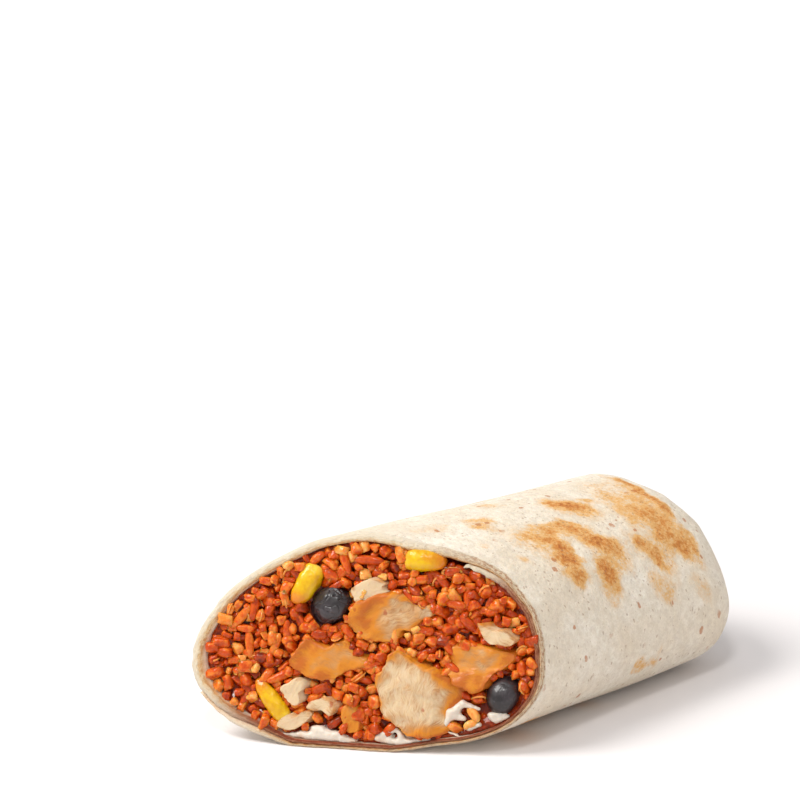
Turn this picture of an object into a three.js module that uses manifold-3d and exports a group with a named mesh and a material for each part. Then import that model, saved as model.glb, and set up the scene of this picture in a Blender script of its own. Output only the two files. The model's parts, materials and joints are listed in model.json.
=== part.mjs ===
// Half of a chicken wrap, cut on the slant: a flour tortilla rolled one and a half times round a filling
// of red rice and quinoa with chicken, black beans, sweetcorn and soured cream, folded shut at its far end.
// Millimetres, +Z up. The roll lies along X, with its cut face towards -X and its folded end at +X.
import * as THREE from "three";
import { mergeVertices } from "three/addons/utils/BufferGeometryUtils.js";
import Module from "manifold-3d";

const wasm = await Module();
wasm.setup();

// ---------------------------------------------------------------- driving sizes
const DEGREE = Math.PI / 180;
const TURN = 2 * Math.PI;

// The roll. Its radius is given every 30 degrees, from +Y up over the top: wide, low and tipped a little.
const ROLL_LENGTH = 98.6;
const ROLL_RADII = [36.5, 33.1, 29, 24.8, 24.4, 26.6, 30.3, 29.7, 22.9, 22.4, 24.2, 31.7];
const AXIS_HEIGHT = 21.2;
const CUT_FLOOR_BLEND = 0.8;
const END_FLOOR_BLEND = 2.2;
const CUT_FOOT_PRESS = 0.25;
const MID_FOOT_PRESS = 0.35;
const END_FOOT_PRESS = 0.08;
const FOOT_PRESS_HEIGHT = 6;

// The knife's cut: its slant to the roll's length seen from above, and how far it leans back.
const CUT_SLANT = 54.2 * DEGREE;
const CUT_LEAN = 21.6 * DEGREE;

// The folded end: a little slimmer than the cut, rounded at its shoulder, pleated to a dimple.
const END_WIDTH_SHARE = 0.96;
const END_HEIGHT_SHARE = 0.97;
const END_DROP = 2.3;
const END_LIFT = 0.9;
const END_LIFT_STATIONS = [1, 2];
const SHOULDER = 16;
const SHOULDER_SHRINK = 0.485;
const DIMPLE = 2.6;
const PLEAT_HEIGHT = 0.7;
const PLEATS = 5;
const PLEAT_TWIST = 3;
const PINCH_SHARE = 0.035;

// The tortilla sheet, thickest over the top and pressed thin underneath, and where its inner and outer
// edges lie round the roll, from +Y up over the top.
const SHEET_MEAN = 1.6;
const SHEET_SWING = 0.42;
const SHEET_THICKEST = 70 * DEGREE;
const PLY_GAP = 0.33;
const INNER_EDGE = 128 * DEGREE;
const OUTER_EDGE = 700 * DEGREE;
const EDGE_BOW = 30 * DEGREE;
const END_SPIRAL = 30 * DEGREE;
const EDGE_TAPER = 9 * DEGREE;
const EDGE_SHARE = 0.5;

// The filling, and the grains that show on it.
const CLEARANCE = 0.3;
const FINEST_DETAIL = 0.08;
const FILLING_SETBACK = 2.2;
const RICE = { count: 32, apart: 4.6, halfLength: [2.7, 3.7], halfWidth: 1.25, rimMargin: 1.7 };
const QUINOA = { count: 44, apart: 2.9, radius: [1.2, 1.6], flatness: 0.85, rimMargin: 2 };
const PIECE_MARGIN = 1.5;
const GRAIN_PROUD = 0.35;
const GRAIN_TIP = 0.25;
const GRAIN_SEED = 11;

// ---------------------------------------------------------------- small helpers
const mix = (a, b, share) => a + (b - a) * share;

function smoothstep(value, from, to) {
  const t = THREE.MathUtils.clamp((value - from) / (to - from), 0, 1);
  return t * t * (3 - 2 * t);
}

// The larger of two values, with a soft corner that is exact beyond the blend.
function softMax(a, b, blend) {
  const near = Math.max(blend - Math.abs(a - b), 0);
  return Math.max(a, b) + (near * near) / (4 * blend);
}

// A repeatable random number from 0 to 1.
function randomFrom(seed) {
  let state = seed >>> 0;
  return () => {
    state = (state + 0x6d2b79f5) >>> 0;
    let t = state;
    t = Math.imul(t ^ (t >>> 15), t | 1);
    t ^= t + Math.imul(t ^ (t >>> 7), t | 61);
    return ((t ^ (t >>> 14)) >>> 0) / 4294967296;
  };
}

// Only the positions of a geometry, with shared vertices merged, so that it is one closed surface.
function closed(geometry) {
  const bare = new THREE.BufferGeometry();
  bare.setAttribute("position", geometry.getAttribute("position").clone());
  if (geometry.index) bare.setIndex(geometry.index.clone());
  return mergeVertices(bare, 1e-3);
}

// Moves every vertex of a geometry by a function from its old place to its new one.
function reshape(geometry, place) {
  const positions = geometry.getAttribute("position");
  const vertex = new THREE.Vector3();
  for (let i = 0; i < positions.count; i++) {
    vertex.fromBufferAttribute(positions, i);
    const moved = place(vertex);
    positions.setXYZ(i, moved.x, moved.y, moved.z);
  }
  return geometry;
}

function toSolid(geometry) {
  const shell = closed(geometry);
  return new wasm.Manifold(
    new wasm.Mesh({
      numProp: 3,
      vertProperties: shell.attributes.position.array,
      triVerts: new Uint32Array(shell.index.array),
    }),
  );
}

function toGeometry(solid) {
  const mesh = solid.getMesh();
  const positions = new Float32Array(mesh.numVert * 3);
  for (let i = 0; i < mesh.numVert; i++) {
    const start = i * mesh.numProp;
    positions.set(mesh.vertProperties.subarray(start, start + 3), i * 3);
  }
  const geometry = new THREE.BufferGeometry();
  geometry.setAttribute("position", new THREE.BufferAttribute(positions, 3));
  geometry.setIndex(new THREE.BufferAttribute(mesh.triVerts, 1));
  return geometry;
}

// The biggest body of a solid that a cut may have left in pieces, without its needlessly small triangles.
function largestBody(solid) {
  const bodies = solid.simplify(FINEST_DETAIL).decompose();
  return bodies.reduce((best, body) => (body.volume() > best.volume() ? body : best));
}

// ---------------------------------------------------------------- the roll's outer skin
// A smooth closed outline through the twelve radii.
function rollRadius(angle) {
  const count = ROLL_RADII.length;
  return ROLL_RADII.reduce((sum, radius, k) => {
    const away = angle - (k * TURN) / count;
    if (Math.abs(Math.sin(away / 2)) < 1e-9) return sum + radius;
    return sum + (radius * Math.sin((count * away) / 2)) / (count * Math.tan(away / 2));
  }, 0);
}

const cutX = (y, z) =>
  -ROLL_LENGTH / 2 - y / Math.tan(CUT_SLANT) + (z - AXIS_HEIGHT) * Math.tan(CUT_LEAN);

const SHOULDER_START = ROLL_LENGTH / 2 - SHOULDER;

// How much of its full size the section keeps, at a station from 0 at the cut, through 1 where the
// shoulder starts and 2 where the end face starts, to 3 at the pinched middle of the end.
function sectionShare(station) {
  if (station <= 1) return 1;
  if (station <= 2) return 1 - SHOULDER_SHRINK * (1 - Math.cos(((station - 1) * Math.PI) / 2));
  return mix(1 - SHOULDER_SHRINK, PINCH_SHARE, station - 2);
}

function endFaceX(station, angle) {
  const inward = THREE.MathUtils.clamp(station - 2, 0, 1);
  const pleat = Math.sin(inward * Math.PI) * Math.cos(PLEATS * angle + PLEAT_TWIST * inward);
  return ROLL_LENGTH / 2 - DIMPLE * inward * inward + PLEAT_HEIGHT * pleat;
}

// The height of the skin over the surface that it lies on: its own weight presses a flat foot under the
// straight part, and the folded end stands a little clear.
function skinHeight(rise, station) {
  const along = THREE.MathUtils.clamp(station, 0, 1);
  const rounded = softMax(AXIS_HEIGHT + rise, 0, mix(CUT_FLOOR_BLEND, END_FLOOR_BLEND, along));
  const press = mix(CUT_FOOT_PRESS, END_FOOT_PRESS, along) + MID_FOOT_PRESS * Math.sin(Math.PI * along);
  const pressed = rounded - press * (1 - smoothstep(rounded, 0, FOOT_PRESS_HEIGHT));
  return Math.max(pressed, 0) + END_LIFT * smoothstep(station, ...END_LIFT_STATIONS);
}

function skinPoint(angle, station) {
  const along = THREE.MathUtils.clamp(station, 0, 1);
  const share = sectionShare(station);
  const radius = rollRadius(angle) * share;
  const y = radius * Math.cos(angle) * mix(1, END_WIDTH_SHARE, along);
  const rise = radius * Math.sin(angle) * mix(1, END_HEIGHT_SHARE, along) - END_DROP * along;
  const z = skinHeight(rise, station);
  if (station <= 1) return new THREE.Vector3(mix(cutX(y, z), SHOULDER_START, station), y, z);
  if (station > 2) return new THREE.Vector3(endFaceX(station, angle), y, z);
  return new THREE.Vector3(SHOULDER_START + SHOULDER * Math.sin(((station - 1) * Math.PI) / 2), y, z);
}

// The way out of the skin, which turns to lie along the roll as the end face closes in.
function skinNormal(angle, station) {
  const step = 0.02;
  const round = skinPoint(angle + step, station).sub(skinPoint(angle - step, station));
  const ahead = skinPoint(angle, station + step).sub(skinPoint(angle, station - step));
  const normal = round.cross(ahead).normalize();
  return normal.lerp(new THREE.Vector3(1, 0, 0), smoothstep(station, 2, 2.7)).normalize();
}

// A point under the skin. Along the straight part it stays in the slanted section, so the cut is flat.
function underSkin(angle, station, depth) {
  const point = skinPoint(angle, station);
  const normal = skinNormal(angle, station);
  if (station > 1) return point.addScaledVector(normal, -depth);
  const inward = new THREE.Vector2(normal.y, normal.z).normalize();
  point.y -= inward.x * depth;
  point.z -= inward.y * depth;
  point.x = mix(cutX(point.y, point.z), SHOULDER_START, station);
  return point;
}

// ---------------------------------------------------------------- the tortilla
const sheetThickness = (angle) => SHEET_MEAN + SHEET_SWING * Math.cos(angle - SHEET_THICKEST);
const plyPitch = (angle) => sheetThickness(angle) + PLY_GAP;

// Depth of the sheet's outer skin: one ply down where the sheet lies under itself.
function plyDepth(angle) {
  return plyPitch(angle) * (1 - smoothstep(angle, OUTER_EDGE - TURN, INNER_EDGE + TURN));
}

// The free edge bows back towards the folded end and winds in across the end face.
function outerEdge(station) {
  const along = THREE.MathUtils.clamp(station, 0, 2) / 2;
  const inward = THREE.MathUtils.clamp(station - 2, 0, 1);
  return OUTER_EDGE - EDGE_BOW * along * along - END_SPIRAL * inward;
}

// The share of its thickness that the sheet loses at an angle from either of its edges.
const edgeThinning = (away) => (1 - EDGE_SHARE) * (1 - smoothstep(away, 0, EDGE_TAPER));

const SHEET_STATIONS = [0, 0.25, 0.5, 0.75, 1, 1.3, 1.6, 1.8, 2, 2.3, 2.6, 2.82, 3];
const SHEET_STEPS = 72;

// A thin box whose length is wound round the roll and whose width runs to the folded end.
function tortillaGeometry() {
  const rows = SHEET_STATIONS.length - 1;
  const flat = new THREE.BoxGeometry(1, 1, 1, SHEET_STEPS, rows, 1);
  return reshape(flat, ({ x, y, z }) => {
    const station = SHEET_STATIONS[Math.round((y + 0.5) * rows)];
    const outer = outerEdge(station);
    const angle = mix(INNER_EDGE, outer, x + 0.5);
    const top = z > 0 ? edgeThinning(outer - angle) : 0;
    const underside = z > 0 ? 0 : 1 - edgeThinning(angle - INNER_EDGE);
    return underSkin(angle, station, plyDepth(angle) + (top + underside) * sheetThickness(angle));
  });
}

// ---------------------------------------------------------------- the cut face's own frame
// Across is to the right as the cut is looked at, up is up it, and out is towards the viewer.
const CUT_OUT = new THREE.Vector3(-1, -1 / Math.tan(CUT_SLANT), Math.tan(CUT_LEAN)).normalize();
const CUT_ACROSS = new THREE.Vector3(1 / Math.tan(CUT_SLANT), -1, 0).normalize();
const CUT_UP = CUT_OUT.clone().cross(CUT_ACROSS);
const cutFrame = new THREE.Matrix4()
  .makeBasis(CUT_ACROSS, CUT_UP, CUT_OUT)
  .setPosition(-ROLL_LENGTH / 2, 0, AXIS_HEIGHT);
const onCut = (across, up, out) => new THREE.Vector3(across, up, out).applyMatrix4(cutFrame);

// How far across and up the cut a line along the roll moves for each millimetre out of it.
const ROLL_RUN = new THREE.Vector2(CUT_ACROSS.x, CUT_UP.x).divideScalar(CUT_OUT.x);

// Moves a point back along the roll until it is a depth further behind the cut.
function alongRoll(point, depth) {
  point.x -= depth / CUT_OUT.x;
  return point;
}

// ---------------------------------------------------------------- the pocket that the filling takes
// Depth of the innermost ply's inside, with a ramp that clears the sheet's blunt inner edge.
const EDGE_RAMP = 32 * DEGREE;
function pocketDepth(angle) {
  const wound = INNER_EDGE + THREE.MathUtils.euclideanModulo(angle - INNER_EDGE, TURN);
  const meets = INNER_EDGE + TURN;
  const ramp = smoothstep(wound, meets - EDGE_RAMP, meets - EDGE_RAMP / 3);
  return mix(plyDepth(wound), plyPitch(wound), ramp) + sheetThickness(wound) + CLEARANCE;
}

// Whether a spot on the filling's face is inside the pocket, with room to spare.
function inPocket(across, up, margin) {
  const point = onCut(across, up, -FILLING_SETBACK);
  const rise = point.z - AXIS_HEIGHT;
  const angle = Math.atan2(rise, point.y);
  const roof = rollRadius(angle) - pocketDepth(angle) - margin;
  const floor = pocketDepth(angle) + margin;
  return Math.hypot(point.y, rise) < roof && point.z > floor;
}

// ---------------------------------------------------------------- chicken
// Outline corners round each piece's middle, in millimetres on the cut face, and how deep it runs.
const CHICKEN = {
  chicken_chunk_1: {
    at: [7.9, -8.6],
    front: 0.9,
    depth: 13,
    outline: [[-4.8, 9.6], [-8.9, 4.4], [-7.9, -1.5], [-6.6, -4.6], [-2, -7.8], [2.6, -9], [6.6, -7.6],
      [7.2, -2.8], [9, 1.2], [8.6, 3.8], [4.6, 4.6], [1.4, 6.8]],
  },
  chicken_chunk_2: {
    at: [1.8, 7.4],
    front: 0.6,
    depth: 12,
    outline: [[-7.4, 3.6], [-8.7, 0.2], [-7.8, -2.7], [-5, -4.7], [-1, -5.4], [3, -2.8], [8.4, 0],
      [8.2, 2.1], [5, 3.4], [2.4, 4.6], [-1, 5.6], [-4, 4.2]],
  },
  chicken_chunk_3: {
    at: [-12, -2.1],
    front: 0.2,
    depth: 12,
    outline: [[-6.2, 2.5], [-4, 4.2], [0, 2.6], [2.2, 4], [4.8, 1.6], [8.3, -0.4], [8, -1.5],
      [4.8, -3.4], [1.4, -4.4], [-2.6, -4.6], [-6.4, -3.8], [-8.2, 0]],
  },
  chicken_chunk_4: {
    at: [22.4, -2.2],
    front: 0.3,
    depth: 12,
    outline: [[-8.8, 4.2], [-6.2, 5.4], [-2.8, 5.8], [2.6, 4.6], [8, 3.2], [8.8, 0.8], [6, -0.9],
      [2.6, -2.2], [-0.2, -4.6], [-2.4, -5.6], [-4.4, -3.9], [-7.6, 0]],
  },
  chicken_scrap_1: {
    at: [-3.8, 14],
    front: 0.5,
    depth: 6,
    outline: [[-3.6, 2], [0, 2.9], [3.2, 2.2], [3.4, 0.2], [0.6, -1.6], [-1.6, -2.4], [-3.4, -0.6]],
  },
  chicken_scrap_2: {
    at: [25.6, 5.3],
    front: 1.4,
    depth: 3.4,
    outline: [[-3.9, 1.6], [-0.6, 1.5], [2.6, 1.3], [3.9, -0.6], [2.2, -1.5], [-1.2, -1.4], [-3.2, -0.4]],
  },
  chicken_scrap_3: {
    at: [-17.6, -15.4],
    front: 0.4,
    depth: 4.4,
    outline: [[-3.8, -1.6], [-2.8, 0.9], [0.6, 1.6], [4, 2], [2.6, -0.4], [0.4, -1.7]],
  },
  chicken_scrap_4: {
    at: [-18.9, -9.9],
    front: 0.9,
    depth: 5,
    outline: [[-2.6, 1.4], [-1, 1], [0.6, 3], [2.6, 2.2], [2, 0], [1.4, -2.4], [0.4, -3.2], [-1.4, -1.6]],
  },
  chicken_scrap_5: {
    at: [-12.6, -12.2],
    front: 0.7,
    depth: 4.5,
    outline: [[-2.8, 0], [-1.4, 1.6], [1.4, 1.7], [2.9, 0.2], [1.6, -1.8], [-0.8, -1.2]],
  },
  chicken_scrap_6: {
    at: [-5.9, -14.6],
    front: 0,
    depth: 6,
    outline: [[-1.8, 3], [0.8, 3.4], [2.3, 0.4], [1.8, -2.4], [0, -3.2], [-1.8, -1.6]],
  },
};
const CHUNK_ROUNDING = 1;
const SCRAP_ROUNDING = 0.45;
const SCRAP_DEPTH = 8;
const CHUNK_BACK_SHARE = 0.82;
const CHUNK_CURVE = 0.35;

// A chunk torn along its grain: an outline run back along the roll, narrowing, with rounded edges.
function chunkGeometry({ outline, depth }, grow) {
  const rounding = depth > SCRAP_DEPTH ? CHUNK_ROUNDING : SCRAP_ROUNDING;
  const corners = outline.map(([across, up]) => new THREE.Vector3(across, up, 0));
  const edge = new THREE.CatmullRomCurve3(corners, true, "catmullrom", CHUNK_CURVE);
  const points = edge.getSpacedPoints(outline.length + 4).slice(0, -1);
  const shape = new THREE.Shape(points.map((point) => new THREE.Vector2(point.x, point.y)));
  const geometry = new THREE.ExtrudeGeometry(shape, {
    depth: depth - 2 * rounding,
    steps: 1,
    bevelThickness: rounding + grow,
    bevelSize: rounding,
    bevelOffset: grow - rounding,
    bevelSegments: 2,
  });
  geometry.translate(0, 0, rounding - depth);
  return reshape(geometry, ({ x, y, z }) => {
    const share = mix(1, CHUNK_BACK_SHARE, THREE.MathUtils.clamp(-z / depth, 0, 1));
    return new THREE.Vector3(x * share + z * ROLL_RUN.x, y * share + z * ROLL_RUN.y, z);
  });
}

// ---------------------------------------------------------------- beans and sweetcorn
// Half sizes are length, height and thickness. Turn is on the cut face, from level.
const BEANS = {
  black_bean_1: { at: [-11.8, 9.4], out: -2.6, half: [4.9, 4.2, 4], turn: 30, dip: -35 },
  black_bean_2: { at: [27.3, -8.8], out: -2.2, half: [4.2, 3.3, 3.3], turn: 62, dip: 20 },
};
const CORN = {
  sweetcorn_1: { at: [-17.6, 14.2], out: -1.3, half: [4.9, 2.3, 2.9], turn: 60, dip: 8 },
  sweetcorn_2: { at: [9, 20.2], out: -1.8, half: [4.6, 2.3, 3.1], turn: -2, dip: -6 },
  sweetcorn_3: { at: [-23.6, -10.8], out: -1.4, half: [5.4, 1.9, 2.6], turn: -50, dip: 0 },
};

const BELLY = 0.16;
const KERNEL_SQUARENESS = 0.72;
const KERNEL_TAPER = 0.2;

// A bean: an egg shape with its belly side pressed in.
function beanGeometry({ half }, grow) {
  const ball = new THREE.SphereGeometry(1, 12, 8);
  return reshape(ball, ({ x, y, z }) => {
    const belly = y < 0 ? BELLY * (1 - x * x) : 0;
    return new THREE.Vector3(x * (half[0] + grow), (y + belly) * (half[1] + grow), z * (half[2] + grow));
  });
}

// A kernel: a ball squared off at its sides, broad at the crown and narrow at the tip.
function kernelGeometry({ half }, grow) {
  const ball = new THREE.SphereGeometry(1, 12, 8);
  const square = (value) => Math.sign(value) * Math.abs(value) ** KERNEL_SQUARENESS;
  return reshape(ball, ({ x, y, z }) => {
    const taper = 1 - KERNEL_TAPER * x;
    return new THREE.Vector3(
      square(x) * (half[0] + grow),
      square(y) * taper * (half[1] + grow),
      square(z) * taper * (half[2] + grow),
    );
  });
}

// ---------------------------------------------------------------- soured cream
// A spread along the bottom of the pocket, running back through the roll.
const CREAM_FROM = 222 * DEGREE;
const CREAM_TO = 318 * DEGREE;
const CREAM_BACK = 0.85;
const CREAM_DEEPEST = 2.7;
const CREAM_SETBACK = 1;

// Blobs and thin places, thinning out to both sides.
function creamThickness(across) {
  const blobs = 0.75 + 0.25 * Math.cos(4 * TURN * across + 0.6) + 0.12 * Math.sin(9 * TURN * across);
  return CREAM_DEEPEST * blobs * Math.sqrt(Math.sin(Math.PI * mix(0.06, 0.94, across)));
}

// To grow it makes the room that the filling leaves for it, open towards the tortilla.
function creamGeometry(grow) {
  const flat = new THREE.BoxGeometry(1, 1, 1, 20, 5, 1);
  return reshape(flat, ({ x, y, z }) => {
    const across = x + 0.5;
    const station = (y + 0.5) * CREAM_BACK;
    const thickness = creamThickness(across) * mix(1, 0.5, y + 0.5);
    const spread = grow / ROLL_RADII[9];
    const angle = mix(CREAM_FROM - spread, CREAM_TO + spread, across);
    const depth = pocketDepth(angle) + (z > 0 ? -3 * grow : thickness + grow);
    const point = underSkin(angle, station, depth);
    return alongRoll(point, CREAM_SETBACK + Math.sign(y) * grow);
  });
}

// ---------------------------------------------------------------- rice and quinoa
const CORE_STEPS = 36;
const CORE_FACE_RINGS = 5;
const CORE_STATIONS = [0, 0.25, 0.5, 0.75, 1, 1.35, 1.7, 2, 2.4, 2.75];
const CORE_END_GAP = 2.4;
const LUMP_HEIGHT = 0.5;
const LUMP_PITCH = 11;

// The filling's body: a ball whose rings become the cut face, the sides and the folded end.
function coreGeometry() {
  const rings = CORE_FACE_RINGS + CORE_STATIONS.length;
  const ball = new THREE.SphereGeometry(1, CORE_STEPS, rings);
  const middle = onCut(0, 0, 0);
  return reshape(ball, ({ x, y, z }) => {
    const ring = Math.round((Math.acos(THREE.MathUtils.clamp(y, -1, 1)) / Math.PI) * rings);
    const angle = Math.atan2(z, x);
    if (ring === rings) {
      return new THREE.Vector3(ROLL_LENGTH / 2 - DIMPLE - pocketDepth(0) - 2 * CORE_END_GAP, 0, AXIS_HEIGHT);
    }
    if (ring > CORE_FACE_RINGS) {
      const station = CORE_STATIONS[ring - CORE_FACE_RINGS];
      return underSkin(angle, station, pocketDepth(angle) + CORE_END_GAP * smoothstep(station, 1, 2.4));
    }
    const rim = underSkin(angle, 0, pocketDepth(angle));
    const point = middle.clone().lerp(rim, ring / CORE_FACE_RINGS);
    const wave = TURN / LUMP_PITCH;
    const lumps = LUMP_HEIGHT * Math.sin(wave * point.y) * Math.cos(wave * point.z);
    return alongRoll(point, FILLING_SETBACK + lumps);
  });
}

// Clear of every chunk, bean and kernel: each is stood for by its outline or its half sizes.
function clearOfPieces(across, up, margin) {
  const clearOfChunks = Object.values(CHICKEN).every(({ at, outline }) => {
    const corners = outline.map(([a, u]) => [at[0] + a, at[1] + u]);
    let inside = false;
    let nearest = Infinity;
    corners.forEach(([ax, ay], i) => {
      const [bx, by] = corners[(i + 1) % corners.length];
      if (ay > up !== by > up && across < ((bx - ax) * (up - ay)) / (by - ay) + ax) inside = !inside;
      const run = ((across - ax) * (bx - ax) + (up - ay) * (by - ay)) / ((bx - ax) ** 2 + (by - ay) ** 2);
      const t = THREE.MathUtils.clamp(run, 0, 1);
      nearest = Math.min(nearest, Math.hypot(across - mix(ax, bx, t), up - mix(ay, by, t)));
    });
    return !inside && nearest > margin;
  });
  const clearOfOvals = [...Object.values(BEANS), ...Object.values(CORN)].every(({ at, half, turn }) => {
    const offset = new THREE.Vector2(across - at[0], up - at[1]).rotateAround({ x: 0, y: 0 }, -turn * DEGREE);
    return Math.hypot(offset.x / (half[0] + margin), offset.y / (half[1] + margin)) > 1;
  });
  return clearOfChunks && clearOfOvals;
}

const CUT_SPAN = { across: [-44, 38], up: [-22, 27] };
const MOST_TRIES = 9000;

// Seeded spots on the cut face that keep their distance from each other.
function grainSpots(count, spacing, taken, random, fits) {
  const spots = [];
  for (let tries = 0; spots.length < count && tries < MOST_TRIES; tries++) {
    const spot = {
      across: mix(...CUT_SPAN.across, random()),
      up: mix(...CUT_SPAN.up, random()),
      turn: random() * Math.PI,
      size: random(),
    };
    const apart = [...taken, ...spots].every(
      (other) => Math.hypot(spot.across - other.across, spot.up - other.up) > spacing,
    );
    if (apart && fits(spot)) spots.push(spot);
  }
  return spots;
}

// A grain half sunk in the filling's face.
function grainSolid(geometry, spot, half, tip) {
  geometry.scale(...half);
  geometry.rotateY(tip).rotateZ(spot.turn);
  geometry.translate(spot.across, spot.up, -FILLING_SETBACK + half[2] * GRAIN_PROUD);
  return toSolid(geometry.applyMatrix4(cutFrame));
}

function riceSolid(spot, tip) {
  const half = [mix(...RICE.halfLength, spot.size), RICE.halfWidth, RICE.halfWidth];
  return grainSolid(new THREE.SphereGeometry(1, 5, 3).rotateZ(Math.PI / 2), spot, half, tip);
}

function quinoaSolid(spot) {
  const radius = mix(...QUINOA.radius, spot.size);
  return grainSolid(new THREE.IcosahedronGeometry(1, 0), spot, [radius, radius, radius * QUINOA.flatness], 0);
}

function grainSolids() {
  const random = randomFrom(GRAIN_SEED);
  const clear = (across, up, rimMargin) =>
    inPocket(across, up, rimMargin) && clearOfPieces(across, up, PIECE_MARGIN);
  const clearAlongGrain = ({ across, up, turn, size }) =>
    [-0.8, 0, 0.8].every((share) => {
      const reach = share * mix(...RICE.halfLength, size);
      return clear(across + Math.cos(turn) * reach, up + Math.sin(turn) * reach, RICE.rimMargin);
    });
  const rice = grainSpots(RICE.count, RICE.apart, [], random, clearAlongGrain);
  const quinoa = grainSpots(QUINOA.count, QUINOA.apart, rice, random, ({ across, up }) =>
    clear(across, up, QUINOA.rimMargin));
  const riceSolids = rice.map((spot) => riceSolid(spot, mix(-GRAIN_TIP, GRAIN_TIP, random())));
  return [...riceSolids, ...quinoa.map(quinoaSolid)];
}

// ---------------------------------------------------------------- putting it together
const finishes = {
  tortilla: new THREE.MeshStandardMaterial({ color: 0xe6dcc6, roughness: 0.8 }),
  grain: new THREE.MeshStandardMaterial({ color: 0xc9501a, roughness: 0.45 }),
  cream: new THREE.MeshStandardMaterial({ color: 0xf3eee4, roughness: 0.35 }),
  chicken: new THREE.MeshStandardMaterial({ color: 0xdcb27c, roughness: 0.6 }),
  bean: new THREE.MeshStandardMaterial({ color: 0x1d1c24, roughness: 0.3 }),
  corn: new THREE.MeshStandardMaterial({ color: 0xf3b91c, roughness: 0.3 }),
};

const wrap = new THREE.Group();
const cutFace = new THREE.Group();
cutFrame.decompose(cutFace.position, cutFace.quaternion, cutFace.scale);

function addMesh(parent, name, geometry, material) {
  const mesh = new THREE.Mesh(geometry, material);
  mesh.name = name;
  parent.add(mesh);
  return mesh;
}

// Puts a piece on the cut face, and returns the room that the filling leaves for it.
function addPiece(name, spec, makeGeometry, material) {
  const mesh = addMesh(cutFace, name, makeGeometry(spec, 0), material);
  mesh.position.set(spec.at[0], spec.at[1], spec.front ?? spec.out);
  mesh.rotation.set(0, (spec.dip ?? 0) * DEGREE, (spec.turn ?? 0) * DEGREE, "ZYX");
  mesh.updateMatrix();
  return toSolid(makeGeometry(spec, CLEARANCE).applyMatrix4(mesh.matrix).applyMatrix4(cutFrame));
}

addMesh(wrap, "tortilla", tortillaGeometry(), finishes.tortilla);

const rooms = [
  ...Object.entries(CHICKEN).map(([name, spec]) => addPiece(name, spec, chunkGeometry, finishes.chicken)),
  ...Object.entries(BEANS).map(([name, spec]) => addPiece(name, spec, beanGeometry, finishes.bean)),
  ...Object.entries(CORN).map(([name, spec]) => addPiece(name, spec, kernelGeometry, finishes.corn)),
];
wrap.add(cutFace);

const cut = (solid, tools) => tools.reduce((left, tool) => left.subtract(tool), solid);
const cream = largestBody(cut(toSolid(creamGeometry(0)), rooms));
addMesh(wrap, "soured_cream", toGeometry(cream), finishes.cream);

const heap = grainSolids().reduce((sum, grain) => sum.add(grain), toSolid(coreGeometry()));
const filling = largestBody(cut(heap, [...rooms, toSolid(creamGeometry(CLEARANCE))]));
addMesh(wrap, "rice_and_quinoa", toGeometry(filling), finishes.grain);

// The origin is under the middle of the wrap, on the surface that it lies on.
const bounds = new THREE.Box3().setFromObject(wrap, true);
wrap.position.set(-(bounds.min.x + bounds.max.x) / 2, -(bounds.min.y + bounds.max.y) / 2, -bounds.min.z);

export default wrap;
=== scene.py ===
# %% [markdown]
# # Half of a chicken wrap
# The real thing is a soft flour tortilla rolled one and a half times round red rice and quinoa, chicken,
# black beans, sweetcorn and soured cream, then cut on the slant with a knife. This script takes the packed
# model as its frame and dresses every piece of it: the toasted sheet, the grains, the torn meat, the beans
# and the cream.
#
# Everything is first made in the roll's own millimetres, with X along the roll and the middle of its axis at
# X = 0, because every size of food is a few millimetres. The last step of each piece turns it into metres in
# the frame's place.

# %% Load the frame
import json
import math
import random

import bmesh
import bpy
import numpy as np
from mathutils import Matrix, Vector, noise

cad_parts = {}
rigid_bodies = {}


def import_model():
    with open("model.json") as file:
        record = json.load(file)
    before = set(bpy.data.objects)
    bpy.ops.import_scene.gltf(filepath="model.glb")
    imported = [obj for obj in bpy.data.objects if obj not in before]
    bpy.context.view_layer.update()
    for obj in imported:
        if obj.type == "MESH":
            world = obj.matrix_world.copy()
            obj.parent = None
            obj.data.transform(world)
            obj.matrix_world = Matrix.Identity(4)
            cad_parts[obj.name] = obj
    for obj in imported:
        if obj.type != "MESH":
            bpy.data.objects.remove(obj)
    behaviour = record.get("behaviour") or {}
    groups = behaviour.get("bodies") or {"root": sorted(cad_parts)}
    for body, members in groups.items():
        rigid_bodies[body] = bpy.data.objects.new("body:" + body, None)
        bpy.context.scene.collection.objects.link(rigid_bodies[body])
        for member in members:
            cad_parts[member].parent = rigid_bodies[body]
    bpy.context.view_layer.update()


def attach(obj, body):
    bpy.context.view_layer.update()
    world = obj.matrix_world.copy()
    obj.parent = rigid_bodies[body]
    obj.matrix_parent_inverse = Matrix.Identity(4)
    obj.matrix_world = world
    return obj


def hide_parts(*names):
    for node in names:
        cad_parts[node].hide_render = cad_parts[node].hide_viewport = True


for leftover in list(bpy.data.objects):
    bpy.data.objects.remove(leftover)
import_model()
scene = bpy.context.scene

# %% [markdown]
# ## The roll as a surface
# A rolled sheet could be simulated as cloth, but a formula is steadier: a point on the skin is given by an
# angle round the roll and a station along it. The angle runs from +Y up over the top. The station is 0 on
# the cut, 1 where the shoulder of the folded end starts, 2 where its end face starts and 3 in the middle of
# the end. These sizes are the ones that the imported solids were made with, so the two agree.

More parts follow.
